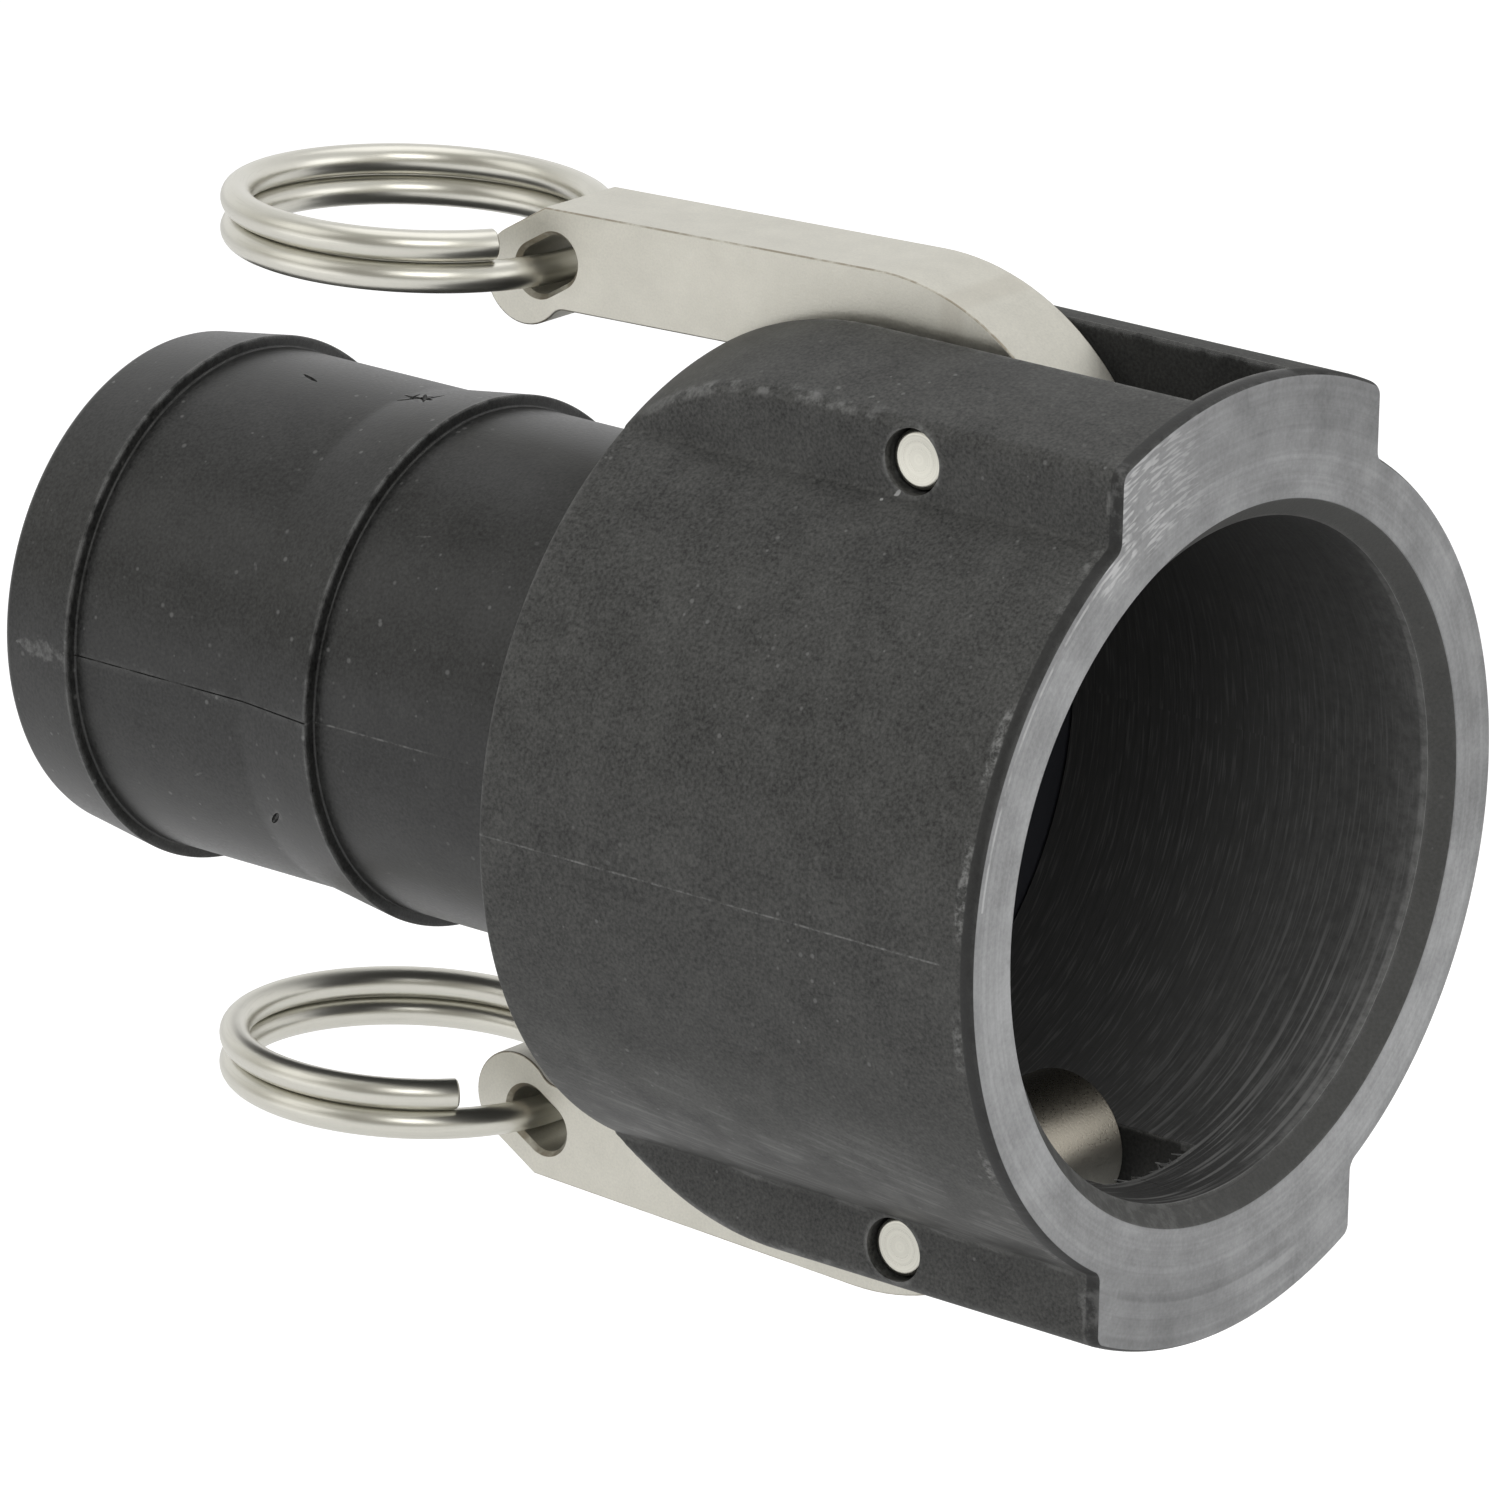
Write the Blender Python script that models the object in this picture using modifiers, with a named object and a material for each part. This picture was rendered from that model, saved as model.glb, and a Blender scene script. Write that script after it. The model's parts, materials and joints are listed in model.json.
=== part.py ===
"""Two-inch cam and groove coupler with a barbed hose shank.

The flow axis lies along X, and the mouth face is the plane X = 0 with the mouth facing +X.
The two cam arms lie closed along the top and the bottom of the coupler (+Z and -Z).
Their pivot pins lie along Y.
"""

import math

import bmesh
import bpy

# Driving dimensions, in metres and degrees

# Socket and bell
BORE_RADIUS = 0.0320
MOUTH_CHAMFER = 0.0020
BELL_WALL = 0.0076
SOCKET_DEPTH = 0.0437
BACK_WALL = 0.00665
RIM_CHAMFER = 0.00055

# Bosses: the raised pads that carry the arms
BOSS_HEIGHT = 0.0060
BOSS_WIDTH = 0.0392
BOSS_BACK_LENGTH = 0.0190
BOSS_EDGE = 0.0005

# Slot through each boss, and its window into the socket
SLOT_FRONT_WALL = 0.0017
WINDOW_FRONT_WALL = 0.0088

# Shank with two barbs
FLOW_RADIUS = 0.0205
SHANK_WALL = 0.0044
SHANK_LENGTH = 0.0730
BARB_HEIGHT = 0.0012
BARB_CONE_LENGTH = 0.0090
BARB_SPACING = 0.03055
OUTER_BARB_FROM_TAIL = 0.0095
TAIL_ROUND = 0.0010

# Gasket, held behind a lip at the bottom of the socket
GASKET_THICKNESS = 0.00635
GASKET_WIDTH = 0.0081
GASKET_LIP = 0.0015
GASKET_EDGE = 0.0004

# Pivot pins
PIN_FROM_MOUTH = 0.0235
PIN_BELOW_BELL = 0.0019
PIN_RADIUS = 0.0030
PIN_RECESS = 0.0007
PIN_CHAMFER = 0.0005

# Cam arms, measured from the pin axis along the straight bar of the arm
ARM_WIDTH = 0.0104
ARM_TILT = 2.03
ARM_OUTER = 0.01245
ARM_BAR_HEIGHT = 0.00965
ARM_EDGE = 0.0005
HEAD_START = 0.0156
HEAD_RADIUS = 0.0250
CAM_RADIUS = 0.00685
CAM_ANGLE = 27.3
CAM_BACK_ANGLE = -142.0
NECK_FILLET = 0.0040
TAIL_REACH = 0.05765
TAIL_LOBE_RADIUS = 0.00475
TAIL_LOBE_DROP = 0.0027
TAIL_SLOPE = 29.0
TAIL_FILLET = 0.0020

# Ring hole in the tail of each arm, placed from the middle of the tail lobe
RING_HOLE_LENGTH = 0.0031
RING_HOLE_OFFSET = 0.00145
RING_HOLE_RISE = 0.0009

# Pull rings: two turns of wire, shifted towards -Y and rolled so that this side is the higher one
RING_RADIUS = 0.01695
RING_STRETCH = 1.03
RING_SHIFT = 0.0020
RING_LIFT = 0.0009
RING_HANG = 0.00025
RING_ROLL = 1.7
WIRE_RADIUS = 0.00145
RING_STEP_START = 0.0020
RING_STEP_END = 0.0120
RING_BEND_SPREAD = 0.0045

# Clearances
TURNING_GAP = 0.0003
SEAT_GAP = 0.0003
CAM_SWEEP_GAP = 0.0007
ARM_SIDE_PLAY = 0.0017
ARM_FLOOR_GAP = 0.0028
RING_HOLE_SLACK = 0.00135
COIL_GAP = 0.00015
RING_END_GAPS = {"upper": 0.0042, "lower": 0.0067}
CUT_MARGIN = 0.0040

# Fineness of the round surfaces
TURN_STEPS = 80
PIN_STEPS = 40
ARC_STEP = 9.0
RING_STEPS = 44
SMOOTH_ANGLE = 35.0

# Derived sizes
MOUTH_RADIUS = BORE_RADIUS + MOUTH_CHAMFER
BELL_RADIUS = BORE_RADIUS + BELL_WALL
BOSS_RADIUS = BELL_RADIUS + BOSS_HEIGHT
SHANK_RADIUS = FLOW_RADIUS + SHANK_WALL
GASKET_RADIUS = BORE_RADIUS + GASKET_LIP
GASKET_BACK = SOCKET_DEPTH + GASKET_THICKNESS
BELL_LENGTH = GASKET_BACK + SEAT_GAP + BACK_WALL
BODY_LENGTH = BELL_LENGTH + SHANK_LENGTH
PIN_HEIGHT = BELL_RADIUS - PIN_BELOW_BELL
PIN_HOLE_RADIUS = PIN_RADIUS + TURNING_GAP
PIN_LENGTH = BOSS_WIDTH - 2 * PIN_RECESS
ARM_INNER = ARM_OUTER - ARM_BAR_HEIGHT
SLOT_WIDTH = ARM_WIDTH + 2 * ARM_SIDE_PLAY
RING_HOLE_RADIUS = WIRE_RADIUS + RING_HOLE_SLACK
COIL_PITCH = 2 * WIRE_RADIUS + COIL_GAP

# The upper side as built, and the lower side as the same turned half a turn about the flow axis
SIDES = {"upper": 0.0, "lower": math.pi}


def arc(centre, radius, start, end):
    """Points of an arc between two angles in degrees, both ends included."""
    count = max(2, math.ceil(abs(end - start) / ARC_STEP) + 1)
    points = []
    for i in range(count):
        angle = math.radians(start + (end - start) * i / (count - 1))
        points.append((centre[0] + radius * math.cos(angle), centre[1] + radius * math.sin(angle)))
    return points


def rotated(point, degrees):
    """A flat point turned about the origin."""
    angle = math.radians(degrees)
    x, z = point
    return (x * math.cos(angle) - z * math.sin(angle), x * math.sin(angle) + z * math.cos(angle))


def clear_scene():
    """Remove every object of the open file."""
    for old in list(bpy.data.objects):
        bpy.data.objects.remove(old, do_unlink=True)


def new_collection(name):
    """A collection linked to the scene."""
    made = bpy.data.collections.new(name)
    bpy.context.scene.collection.children.link(made)
    return made


def new_material(name, colour, roughness, metallic):
    """A Principled material of one colour."""
    made = bpy.data.materials.new(name)
    made.use_nodes = True
    shader = made.node_tree.nodes["Principled BSDF"]
    shader.inputs["Base Color"].default_value = (*colour, 1.0)
    shader.inputs["Roughness"].default_value = roughness
    shader.inputs["Metallic"].default_value = metallic
    return made


def shade(mesh):
    """Smooth shading that keeps the sharp edges."""
    mesh.shade_smooth()
    mesh.set_sharp_from_angle(angle=math.radians(SMOOTH_ANGLE))


def place(mesh, name, group, material=None):
    """A mesh as an object of a collection; one with no material is a cutter."""
    made = bpy.data.objects.new(name, mesh)
    group.objects.link(made)
    if material:
        mesh.materials.append(material)
    else:
        made.hide_render = True
        made.display_type = 'WIRE'
    return made


def turned(name, profile, group, material=None):
    """A closed outline of (x, radius) points turned about the X axis.

    The outline runs backwards along its outer side, so that the faces point out.
    """
    mesh = bpy.data.meshes.new(name)
    corners = [(x, 0.0, radius) for x, radius in profile]
    edges = [(i, (i + 1) % len(corners)) for i in range(len(corners))]
    mesh.from_pydata(corners, edges, [])
    made = place(mesh, name, group, material)
    screw = made.modifiers.new("turn", 'SCREW')
    screw.axis = 'X'
    screw.steps = TURN_STEPS
    screw.render_steps = TURN_STEPS
    screw.use_merge_vertices = True
    screw.merge_threshold = 0.000001
    screw.use_smooth_shade = True
    return made


def plate_mesh(name, outline, thickness):
    """A flat outline of (x, z) points, as thick as given along Y."""
    curve = bpy.data.curves.new(name, 'CURVE')
    curve.dimensions = '2D'
    curve.fill_mode = 'BOTH'
    curve.extrude = thickness / 2
    spline = curve.splines.new('POLY')
    spline.points.add(len(outline) - 1)
    for point, (x, z) in zip(spline.points, outline):
        point.co = (x, z, 0.0, 1.0)
    spline.use_cyclic_u = True
    drawn = bpy.data.objects.new(name, curve)
    drawn.rotation_euler.x = math.radians(90)
    bpy.context.scene.collection.objects.link(drawn)
    bpy.context.view_layer.update()
    mesh = bpy.data.meshes.new_from_object(drawn.evaluated_get(bpy.context.evaluated_depsgraph_get()))
    mesh.transform(drawn.matrix_world)
    bpy.data.objects.remove(drawn, do_unlink=True)
    solid = bmesh.new()
    solid.from_mesh(mesh)
    bmesh.ops.remove_doubles(solid, verts=solid.verts, dist=0.000001)
    bmesh.ops.dissolve_limit(solid, angle_limit=math.radians(1), verts=solid.verts, edges=solid.edges)
    bmesh.ops.recalc_face_normals(solid, faces=solid.faces)
    solid.to_mesh(mesh)
    solid.free()
    return mesh


def rod_mesh(name, radius, length):
    """A round rod along Y with its middle at the origin."""
    mesh = bpy.data.meshes.new(name)
    solid = bmesh.new()
    bmesh.ops.create_cone(
        solid, cap_ends=True, segments=PIN_STEPS, radius1=radius, radius2=radius, depth=length
    )
    solid.to_mesh(mesh)
    solid.free()
    for corner in mesh.vertices:
        x, y, z = corner.co
        corner.co = (x, -z, y)
    return mesh


def combine(target, other, operation, solver='EXACT'):
    """Join, cut or keep the target with another object."""
    step = target.modifiers.new(operation.lower(), 'BOOLEAN')
    step.operation = operation
    step.object = other
    step.solver = solver


def settle(made):
    """Turn an object's modifiers into its mesh, and shade it."""
    bpy.context.view_layer.update()
    mesh = bpy.data.meshes.new_from_object(made.evaluated_get(bpy.context.evaluated_depsgraph_get()))
    made.modifiers.clear()
    made.data = mesh
    shade(mesh)


def bevel(target, width, angle):
    """Bevel the edges that are sharper than an angle in degrees."""
    step = target.modifiers.new("edges", 'BEVEL')
    step.width = width
    step.segments = 1
    step.limit_method = 'ANGLE'
    step.angle_limit = math.radians(angle)


# Body

def barb(crest, cone_end):
    """Outer points of a barb from its step, which faces the mouth, to the end of its cone."""
    return [(crest, SHANK_RADIUS), (crest, SHANK_RADIUS + BARB_HEIGHT), (cone_end, SHANK_RADIUS)]


def body_profile():
    """Section of the bell and the shank, with the socket, the gasket groove and the flow bore."""
    outer_crest = OUTER_BARB_FROM_TAIL - BODY_LENGTH
    inner_crest = outer_crest + BARB_SPACING
    tail_round_start = TAIL_ROUND - BODY_LENGTH
    groove_radius = GASKET_RADIUS + SEAT_GAP
    groove_front = SEAT_GAP - SOCKET_DEPTH
    groove_back = -GASKET_BACK - SEAT_GAP
    outer = [
        (0.0, MOUTH_RADIUS),
        (0.0, BELL_RADIUS - RIM_CHAMFER),
        (-RIM_CHAMFER, BELL_RADIUS),
        (-BELL_LENGTH, BELL_RADIUS),
        (-BELL_LENGTH, SHANK_RADIUS),
        *barb(inner_crest, inner_crest - BARB_CONE_LENGTH),
        *barb(outer_crest, tail_round_start),
        (-BODY_LENGTH, SHANK_RADIUS - TAIL_ROUND),
    ]
    inner = [
        (-BODY_LENGTH, FLOW_RADIUS),
        (groove_back, FLOW_RADIUS),
        (groove_back, groove_radius),
        (groove_front, groove_radius),
        (groove_front, BORE_RADIUS),
        (-MOUTH_CHAMFER, BORE_RADIUS),
    ]
    return outer + inner


def boss_profile():
    """Section of the bosses: flush with the mouth face, and rounded down to the bell at the back."""
    root = (BORE_RADIUS + BELL_RADIUS) / 2
    back_radius = (BOSS_BACK_LENGTH ** 2 + BOSS_HEIGHT ** 2) / (2 * BOSS_HEIGHT)
    sweep = math.degrees(math.asin(BOSS_BACK_LENGTH / back_radius))
    flat_end = BOSS_BACK_LENGTH - BELL_LENGTH
    back = arc((flat_end, BOSS_RADIUS - back_radius), back_radius, 90, 90 + sweep)
    front = [(0.0, root), (0.0, BOSS_RADIUS - RIM_CHAMFER), (-RIM_CHAMFER, BOSS_RADIUS)]
    return front + back + [(-BELL_LENGTH, root)]


def slot_floor():
    """Height of the slot's floor, below the lowest point of the closed arm inside the bell."""
    fall = (BELL_LENGTH - PIN_FROM_MOUTH) * math.sin(math.radians(ARM_TILT))
    return PIN_HEIGHT + ARM_INNER - fall - ARM_FLOOR_GAP


def slot_outline():
    """Side view of the upper slot: open at the top and the back, with a window into the socket."""
    floor = slot_floor()
    pocket_back = -PIN_FROM_MOUTH - cam_reach() - CAM_SWEEP_GAP
    above = BOSS_RADIUS + CUT_MARGIN
    below = BORE_RADIUS - CUT_MARGIN
    lean = (WINDOW_FRONT_WALL - SLOT_FRONT_WALL) / (BOSS_RADIUS - BORE_RADIUS)
    front_top = -SLOT_FRONT_WALL + CUT_MARGIN * lean
    front_bottom = -WINDOW_FRONT_WALL - CUT_MARGIN * lean
    behind = -BELL_LENGTH - CUT_MARGIN
    return [
        (front_top, above),
        (front_bottom, below),
        (pocket_back, below),
        (pocket_back, floor),
        (behind, floor),
        (behind, above),
    ]


def make_body(parts, cutters, material):
    """The moulded body: turned bell and shank, two bosses, two slots and two pin bores.

    The bosses lie flush with the mouth face, and the manifold solver joins such faces cleanly.
    """
    body = turned("coupler_body", body_profile(), parts, material)
    bosses = turned("boss_ring", boss_profile(), cutters)
    reach = 2 * (BOSS_RADIUS + CUT_MARGIN)
    slab_outline = [(CUT_MARGIN, -reach / 2), (CUT_MARGIN, reach / 2)]
    slab_outline += [(-BODY_LENGTH, reach / 2), (-BODY_LENGTH, -reach / 2)]
    slab = place(plate_mesh("boss_slab", slab_outline, BOSS_WIDTH), "boss_slab", cutters)
    combine(bosses, slab, 'INTERSECT')
    bevel(bosses, BOSS_EDGE, 60)
    combine(body, bosses, 'UNION', 'MANIFOLD')
    for side, turn in SIDES.items():
        slot_mesh = plate_mesh(f"{side}_slot", slot_outline(), SLOT_WIDTH)
        slot = place(slot_mesh, f"{side}_slot", cutters)
        slot.rotation_euler.x = turn
        combine(body, slot, 'DIFFERENCE', 'MANIFOLD')
        bore_mesh = rod_mesh(f"{side}_pin_bore", PIN_HOLE_RADIUS, BOSS_WIDTH + 2 * CUT_MARGIN)
        bore = place(bore_mesh, f"{side}_pin_bore", cutters)
        bore.location = pin_centre(turn)
        combine(body, bore, 'DIFFERENCE', 'MANIFOLD')
    settle(body)


def make_gasket(parts, material):
    """The seal ring in the groove at the bottom of the socket."""
    front = -SOCKET_DEPTH
    back = -GASKET_BACK
    outer = GASKET_RADIUS
    inner = GASKET_RADIUS - GASKET_WIDTH
    profile = [
        (front, inner + GASKET_EDGE),
        (front, outer - GASKET_EDGE),
        (front - GASKET_EDGE, outer),
        (back + GASKET_EDGE, outer),
        (back, outer - GASKET_EDGE),
        (back, inner + GASKET_EDGE),
        (back + GASKET_EDGE, inner),
        (front - GASKET_EDGE, inner),
    ]
    settle(turned("gasket", profile, parts, material))


# Pins, arms and rings

def pin_centre(turn):
    """Middle of the pin on the upper side, or turned about X to the lower side."""
    return (-PIN_FROM_MOUTH, 0.0, PIN_HEIGHT * math.cos(turn))


def make_pin(side, turn, parts, material):
    """A pivot pin with chamfered ends, a little below the boss faces."""
    mesh = rod_mesh(f"{side}_pin", PIN_RADIUS, PIN_LENGTH)
    pin = place(mesh, f"{side}_pin", parts, material)
    pin.location = pin_centre(turn)
    bevel(pin, PIN_CHAMFER, 60)
    settle(pin)


def cam_centre():
    """Centre of the cam, where its round runs on from the curved head of the arm."""
    spread = math.radians(CAM_ANGLE)
    length = HEAD_RADIUS - CAM_RADIUS
    x = -HEAD_START + length * math.cos(spread)
    z = ARM_OUTER - HEAD_RADIUS + length * math.sin(spread)
    return (x, z)


def cam_reach():
    """Distance of the cam's far side from the pin axis."""
    return math.hypot(*cam_centre()) + CAM_RADIUS


def tail_centre():
    """Centre of the round lobe at the tail of the arm."""
    return (-TAIL_REACH, ARM_INNER + TAIL_LOBE_DROP)


def neck_points():
    """Back of the cam: a straight side from the cam's round, and a fillet into the inner edge."""
    end = arc(cam_centre(), CAM_RADIUS, CAM_BACK_ANGLE, CAM_BACK_ANGLE)[0]
    heading = CAM_BACK_ANGLE - 90
    rise = (ARM_INNER - end[1]) / math.sin(math.radians(heading))
    corner_x = end[0] + rise * math.cos(math.radians(heading))
    bend = 180 - heading % 360
    start_x = corner_x - NECK_FILLET * math.tan(math.radians(bend / 2))
    return arc((start_x, ARM_INNER - NECK_FILLET), NECK_FILLET, 90 - bend, 90)


def tail_points():
    """Tail of the arm: a fillet, the round lobe and the slope up to the outer edge."""
    lobe = tail_centre()
    low = ARM_INNER - TAIL_FILLET
    side = math.sqrt((TAIL_LOBE_RADIUS + TAIL_FILLET) ** 2 - (lobe[1] - low) ** 2)
    meet = math.degrees(math.atan2(lobe[1] - low, -side))
    slope_top = lobe[1] + TAIL_LOBE_RADIUS * math.cos(math.radians(TAIL_SLOPE))
    slope_back = lobe[0] - TAIL_LOBE_RADIUS * math.sin(math.radians(TAIL_SLOPE))
    corner_x = slope_back + (ARM_OUTER - slope_top) / math.tan(math.radians(TAIL_SLOPE))
    fillet = arc((lobe[0] + side, low), TAIL_FILLET, 90, meet)
    round_end = arc(lobe, TAIL_LOBE_RADIUS, meet - 180, TAIL_SLOPE - 270)
    return fillet[:-1] + round_end + [(corner_x, ARM_OUTER)]


def arm_outline():
    """Side view of the upper arm about its pin axis, tilted as it lies closed."""
    head_centre = (-HEAD_START, ARM_OUTER - HEAD_RADIUS)
    head = arc(head_centre, HEAD_RADIUS, 90, CAM_ANGLE)
    cam = arc(cam_centre(), CAM_RADIUS, CAM_ANGLE, CAM_BACK_ANGLE)
    points = head + cam[1:] + neck_points() + tail_points()
    return [rotated(point, ARM_TILT) for point in points]


def ring_hole_ends():
    """Centres of the two round ends of the ring hole; the first is the ring's swing axis."""
    lobe = tail_centre()
    slope = math.radians(TAIL_SLOPE)
    low = (lobe[0] + RING_HOLE_OFFSET, lobe[1] + RING_HOLE_RISE)
    high = (low[0] + RING_HOLE_LENGTH * math.cos(slope), low[1] + RING_HOLE_LENGTH * math.sin(slope))
    return rotated(low, ARM_TILT), rotated(high, ARM_TILT)


def ring_hole_outline():
    """Side view of the slanted hole for the ring."""
    low, high = ring_hole_ends()
    lean = TAIL_SLOPE + ARM_TILT
    low_end = arc(low, RING_HOLE_RADIUS, lean + 90, lean + 270)
    high_end = arc(high, RING_HOLE_RADIUS, lean - 90, lean + 90)
    return low_end + high_end


def make_arm(side, turn, parts, cutters, material):
    """A cam arm with its pin hole and its ring hole, and its origin on the pin axis."""
    mesh = plate_mesh(f"{side}_arm", arm_outline(), ARM_WIDTH)
    arm = place(mesh, f"{side}_arm", parts, material)
    arm.location = pin_centre(turn)
    arm.rotation_euler.x = turn
    depth = ARM_WIDTH + 2 * CUT_MARGIN
    hole_meshes = {
        "pin_hole": rod_mesh(f"{side}_pin_hole", PIN_HOLE_RADIUS, depth),
        "ring_hole": plate_mesh(f"{side}_ring_hole", ring_hole_outline(), depth),
    }
    for label, hole_mesh in hole_meshes.items():
        hole = place(hole_mesh, f"{side}_{label}", cutters)
        hole.parent = arm
        combine(arm, hole, 'DIFFERENCE')
    bevel(arm, ARM_EDGE, 50)
    settle(arm)
    return arm


def ring_points(end_gap):
    """Centre line of the wire about the swing axis, from one free end round to the other.

    The wire makes two turns. Between them it passes through the hole in the arm, and behind the arm
    it steps from the lower coil to the upper one. The ring sits a little to one side, so behind the
    arm the wire is bent to run straight through the hole.
    """
    half_length = RING_RADIUS * RING_STRETCH
    face_y = ARM_WIDTH / 2
    bend_y = face_y + WIRE_RADIUS / 2
    fall = half_length * (1 - math.sqrt(1 - ((face_y + RING_SHIFT) / RING_RADIUS) ** 2))
    bend = fall - RING_HOLE_SLACK / 3
    lean = math.tan(math.radians(RING_ROLL))
    first = math.degrees(math.asin((RING_SHIFT - face_y - end_gap) / RING_RADIUS))
    last = math.degrees(math.asin((RING_SHIFT + RING_STEP_END) / RING_RADIUS))
    total = 720 - (last - first)
    points = []
    for i in range(2 * RING_STEPS + 1):
        angle = first - total * i / (2 * RING_STEPS)
        past_hole = angle + 360
        x = half_length * (math.cos(math.radians(angle)) - 1) - RING_HANG
        y = RING_RADIUS * math.sin(math.radians(angle)) - RING_SHIFT
        level = math.copysign(1.0, past_hole)
        if abs(past_hole) < 90:
            step = (y - RING_STEP_START) / (RING_STEP_END - RING_STEP_START)
            level = max(-1.0, min(1.0, 2 * step - 1))
            x += bend * math.exp(-((y - bend_y) / RING_BEND_SPREAD) ** 2)
        z = RING_LIFT + level * COIL_PITCH / 2 - lean * (y + RING_SHIFT)
        points.append((x, y, z))
    return points


def make_ring(side, turn, arm, parts, material):
    """A pull ring of wire, hung in the hole of its arm, with its origin on the swing axis.

    Both rings hang the same way up, so the lower one is turned back against its arm.
    """
    curve = bpy.data.curves.new(f"{side}_ring", 'CURVE')
    curve.dimensions = '3D'
    curve.bevel_depth = WIRE_RADIUS
    curve.bevel_resolution = 2
    curve.use_fill_caps = True
    points = ring_points(RING_END_GAPS[side])
    spline = curve.splines.new('POLY')
    spline.points.add(len(points) - 1)
    for point, co in zip(spline.points, points):
        point.co = (*co, 1.0)
    curve.materials.append(material)
    ring = bpy.data.objects.new(f"{side}_ring", curve)
    parts.objects.link(ring)
    ring.parent = arm
    axis_x, axis_z = ring_hole_ends()[0]
    ring.location = (axis_x, 0.0, axis_z)
    ring.rotation_euler.x = -turn


def main():
    """Build the coupler."""
    clear_scene()
    parts = new_collection("camlock_coupling")
    cutters = new_collection("cutters")
    moulding = new_material("black_polypropylene", (0.030, 0.030, 0.031), 0.55, 0.0)
    rubber = new_material("nitrile_rubber", (0.018, 0.019, 0.022), 0.7, 0.0)
    make_body(parts, cutters, moulding)
    make_gasket(parts, rubber)
    for side, turn in SIDES.items():
        pin_steel = new_material(f"{side}_pin_steel", (0.62, 0.61, 0.58), 0.3, 1.0)
        arm_steel = new_material(f"{side}_arm_steel", (0.60, 0.59, 0.55), 0.42, 1.0)
        ring_steel = new_material(f"{side}_ring_steel", (0.64, 0.63, 0.58), 0.2, 1.0)
        make_pin(side, turn, parts, pin_steel)
        arm = make_arm(side, turn, parts, cutters, arm_steel)
        make_ring(side, turn, arm, parts, ring_steel)


if __name__ == "__main__":
    main()
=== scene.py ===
"""Looks of a two-inch cam and groove hose coupler, laid out as a Blender add-on.

The moulded body, the seal, the cam arms, the pivot pins and the wire pull rings are modelled around
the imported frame. The flow axis lies along X, the mouth faces +X and the pins lie along Y.
"""

import json
import math

import bmesh
import bpy
from mathutils import Matrix, Vector


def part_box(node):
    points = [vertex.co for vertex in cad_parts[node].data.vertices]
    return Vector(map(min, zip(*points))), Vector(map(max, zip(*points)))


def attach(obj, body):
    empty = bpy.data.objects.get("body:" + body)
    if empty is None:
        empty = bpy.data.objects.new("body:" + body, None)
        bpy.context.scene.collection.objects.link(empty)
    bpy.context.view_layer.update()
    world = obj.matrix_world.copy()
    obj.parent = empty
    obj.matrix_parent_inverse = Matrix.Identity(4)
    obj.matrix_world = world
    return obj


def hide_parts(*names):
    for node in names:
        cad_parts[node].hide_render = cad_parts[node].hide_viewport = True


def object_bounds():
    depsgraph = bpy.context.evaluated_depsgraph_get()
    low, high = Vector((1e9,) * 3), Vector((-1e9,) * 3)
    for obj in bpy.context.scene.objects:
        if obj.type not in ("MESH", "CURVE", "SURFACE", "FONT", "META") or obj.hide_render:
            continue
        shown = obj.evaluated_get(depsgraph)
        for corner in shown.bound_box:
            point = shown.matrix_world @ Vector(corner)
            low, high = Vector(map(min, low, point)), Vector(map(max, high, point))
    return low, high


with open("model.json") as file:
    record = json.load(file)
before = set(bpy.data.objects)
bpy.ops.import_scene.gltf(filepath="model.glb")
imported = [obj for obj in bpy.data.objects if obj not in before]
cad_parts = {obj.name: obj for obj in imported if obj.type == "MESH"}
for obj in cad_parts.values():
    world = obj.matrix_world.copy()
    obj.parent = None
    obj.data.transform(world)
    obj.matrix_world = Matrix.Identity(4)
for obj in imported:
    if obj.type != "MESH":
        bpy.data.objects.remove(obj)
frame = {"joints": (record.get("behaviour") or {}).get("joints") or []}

bl_info = {
    "name": "Cam and Groove Coupler",
    "version": (1, 0, 0),
    "blender": (4, 5, 0),
    "location": "3D View > Sidebar > Coupler",
    "description": "Builds the looks of a cam and groove hose coupler around its packed frame",
    "category": "Add Mesh",
}

CAD_BOX = [list(corner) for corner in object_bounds()]
BODY_LOW, BODY_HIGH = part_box("coupler_body")
SEAL_LOW, SEAL_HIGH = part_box("gasket")
PIN_LOW, PIN_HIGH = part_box("upper_pin")
ARM_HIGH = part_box("upper_arm")[1]
JOINT_POINTS = {joint["name"]: Vector(joint["pos_m"]) for joint in frame["joints"]}

# The two sides of the coupler, with the sign of their height over the flow axis
SIDES = {"upper": 1.0, "lower": -1.0}

# Steps of a full turn, degrees between the points of an arc, the length by which a cutter stands
# out, the gap under which points merge, and the height of the parting line on the bell
TURN_STEPS = 240
ARC_STEP = 6.0
CUT_MARGIN = 0.004
MERGE_DISTANCE = 0.000002
SEAM_HEIGHT = 0.00005


def length(label, text, metres):
    """A size in metres."""
    return bpy.props.FloatProperty(
        name=label, description=text, default=metres, precision=5, subtype='DISTANCE', unit='LENGTH'
    )


def angle(label, text, degrees):
    """An angle, given in degrees."""
    return bpy.props.FloatProperty(
        name=label, description=text, default=math.radians(degrees), subtype='ANGLE', unit='ROTATION'
    )


def colour(label, text, red, green, blue):
    """A linear colour."""
    return bpy.props.FloatVectorProperty(
        name=label, description=text, default=(red, green, blue), min=0.0, max=1.0, subtype='COLOR'
    )


def amount(label, text, value):
    """A plain number."""
    return bpy.props.FloatProperty(name=label, description=text, default=value, precision=4)


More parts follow.
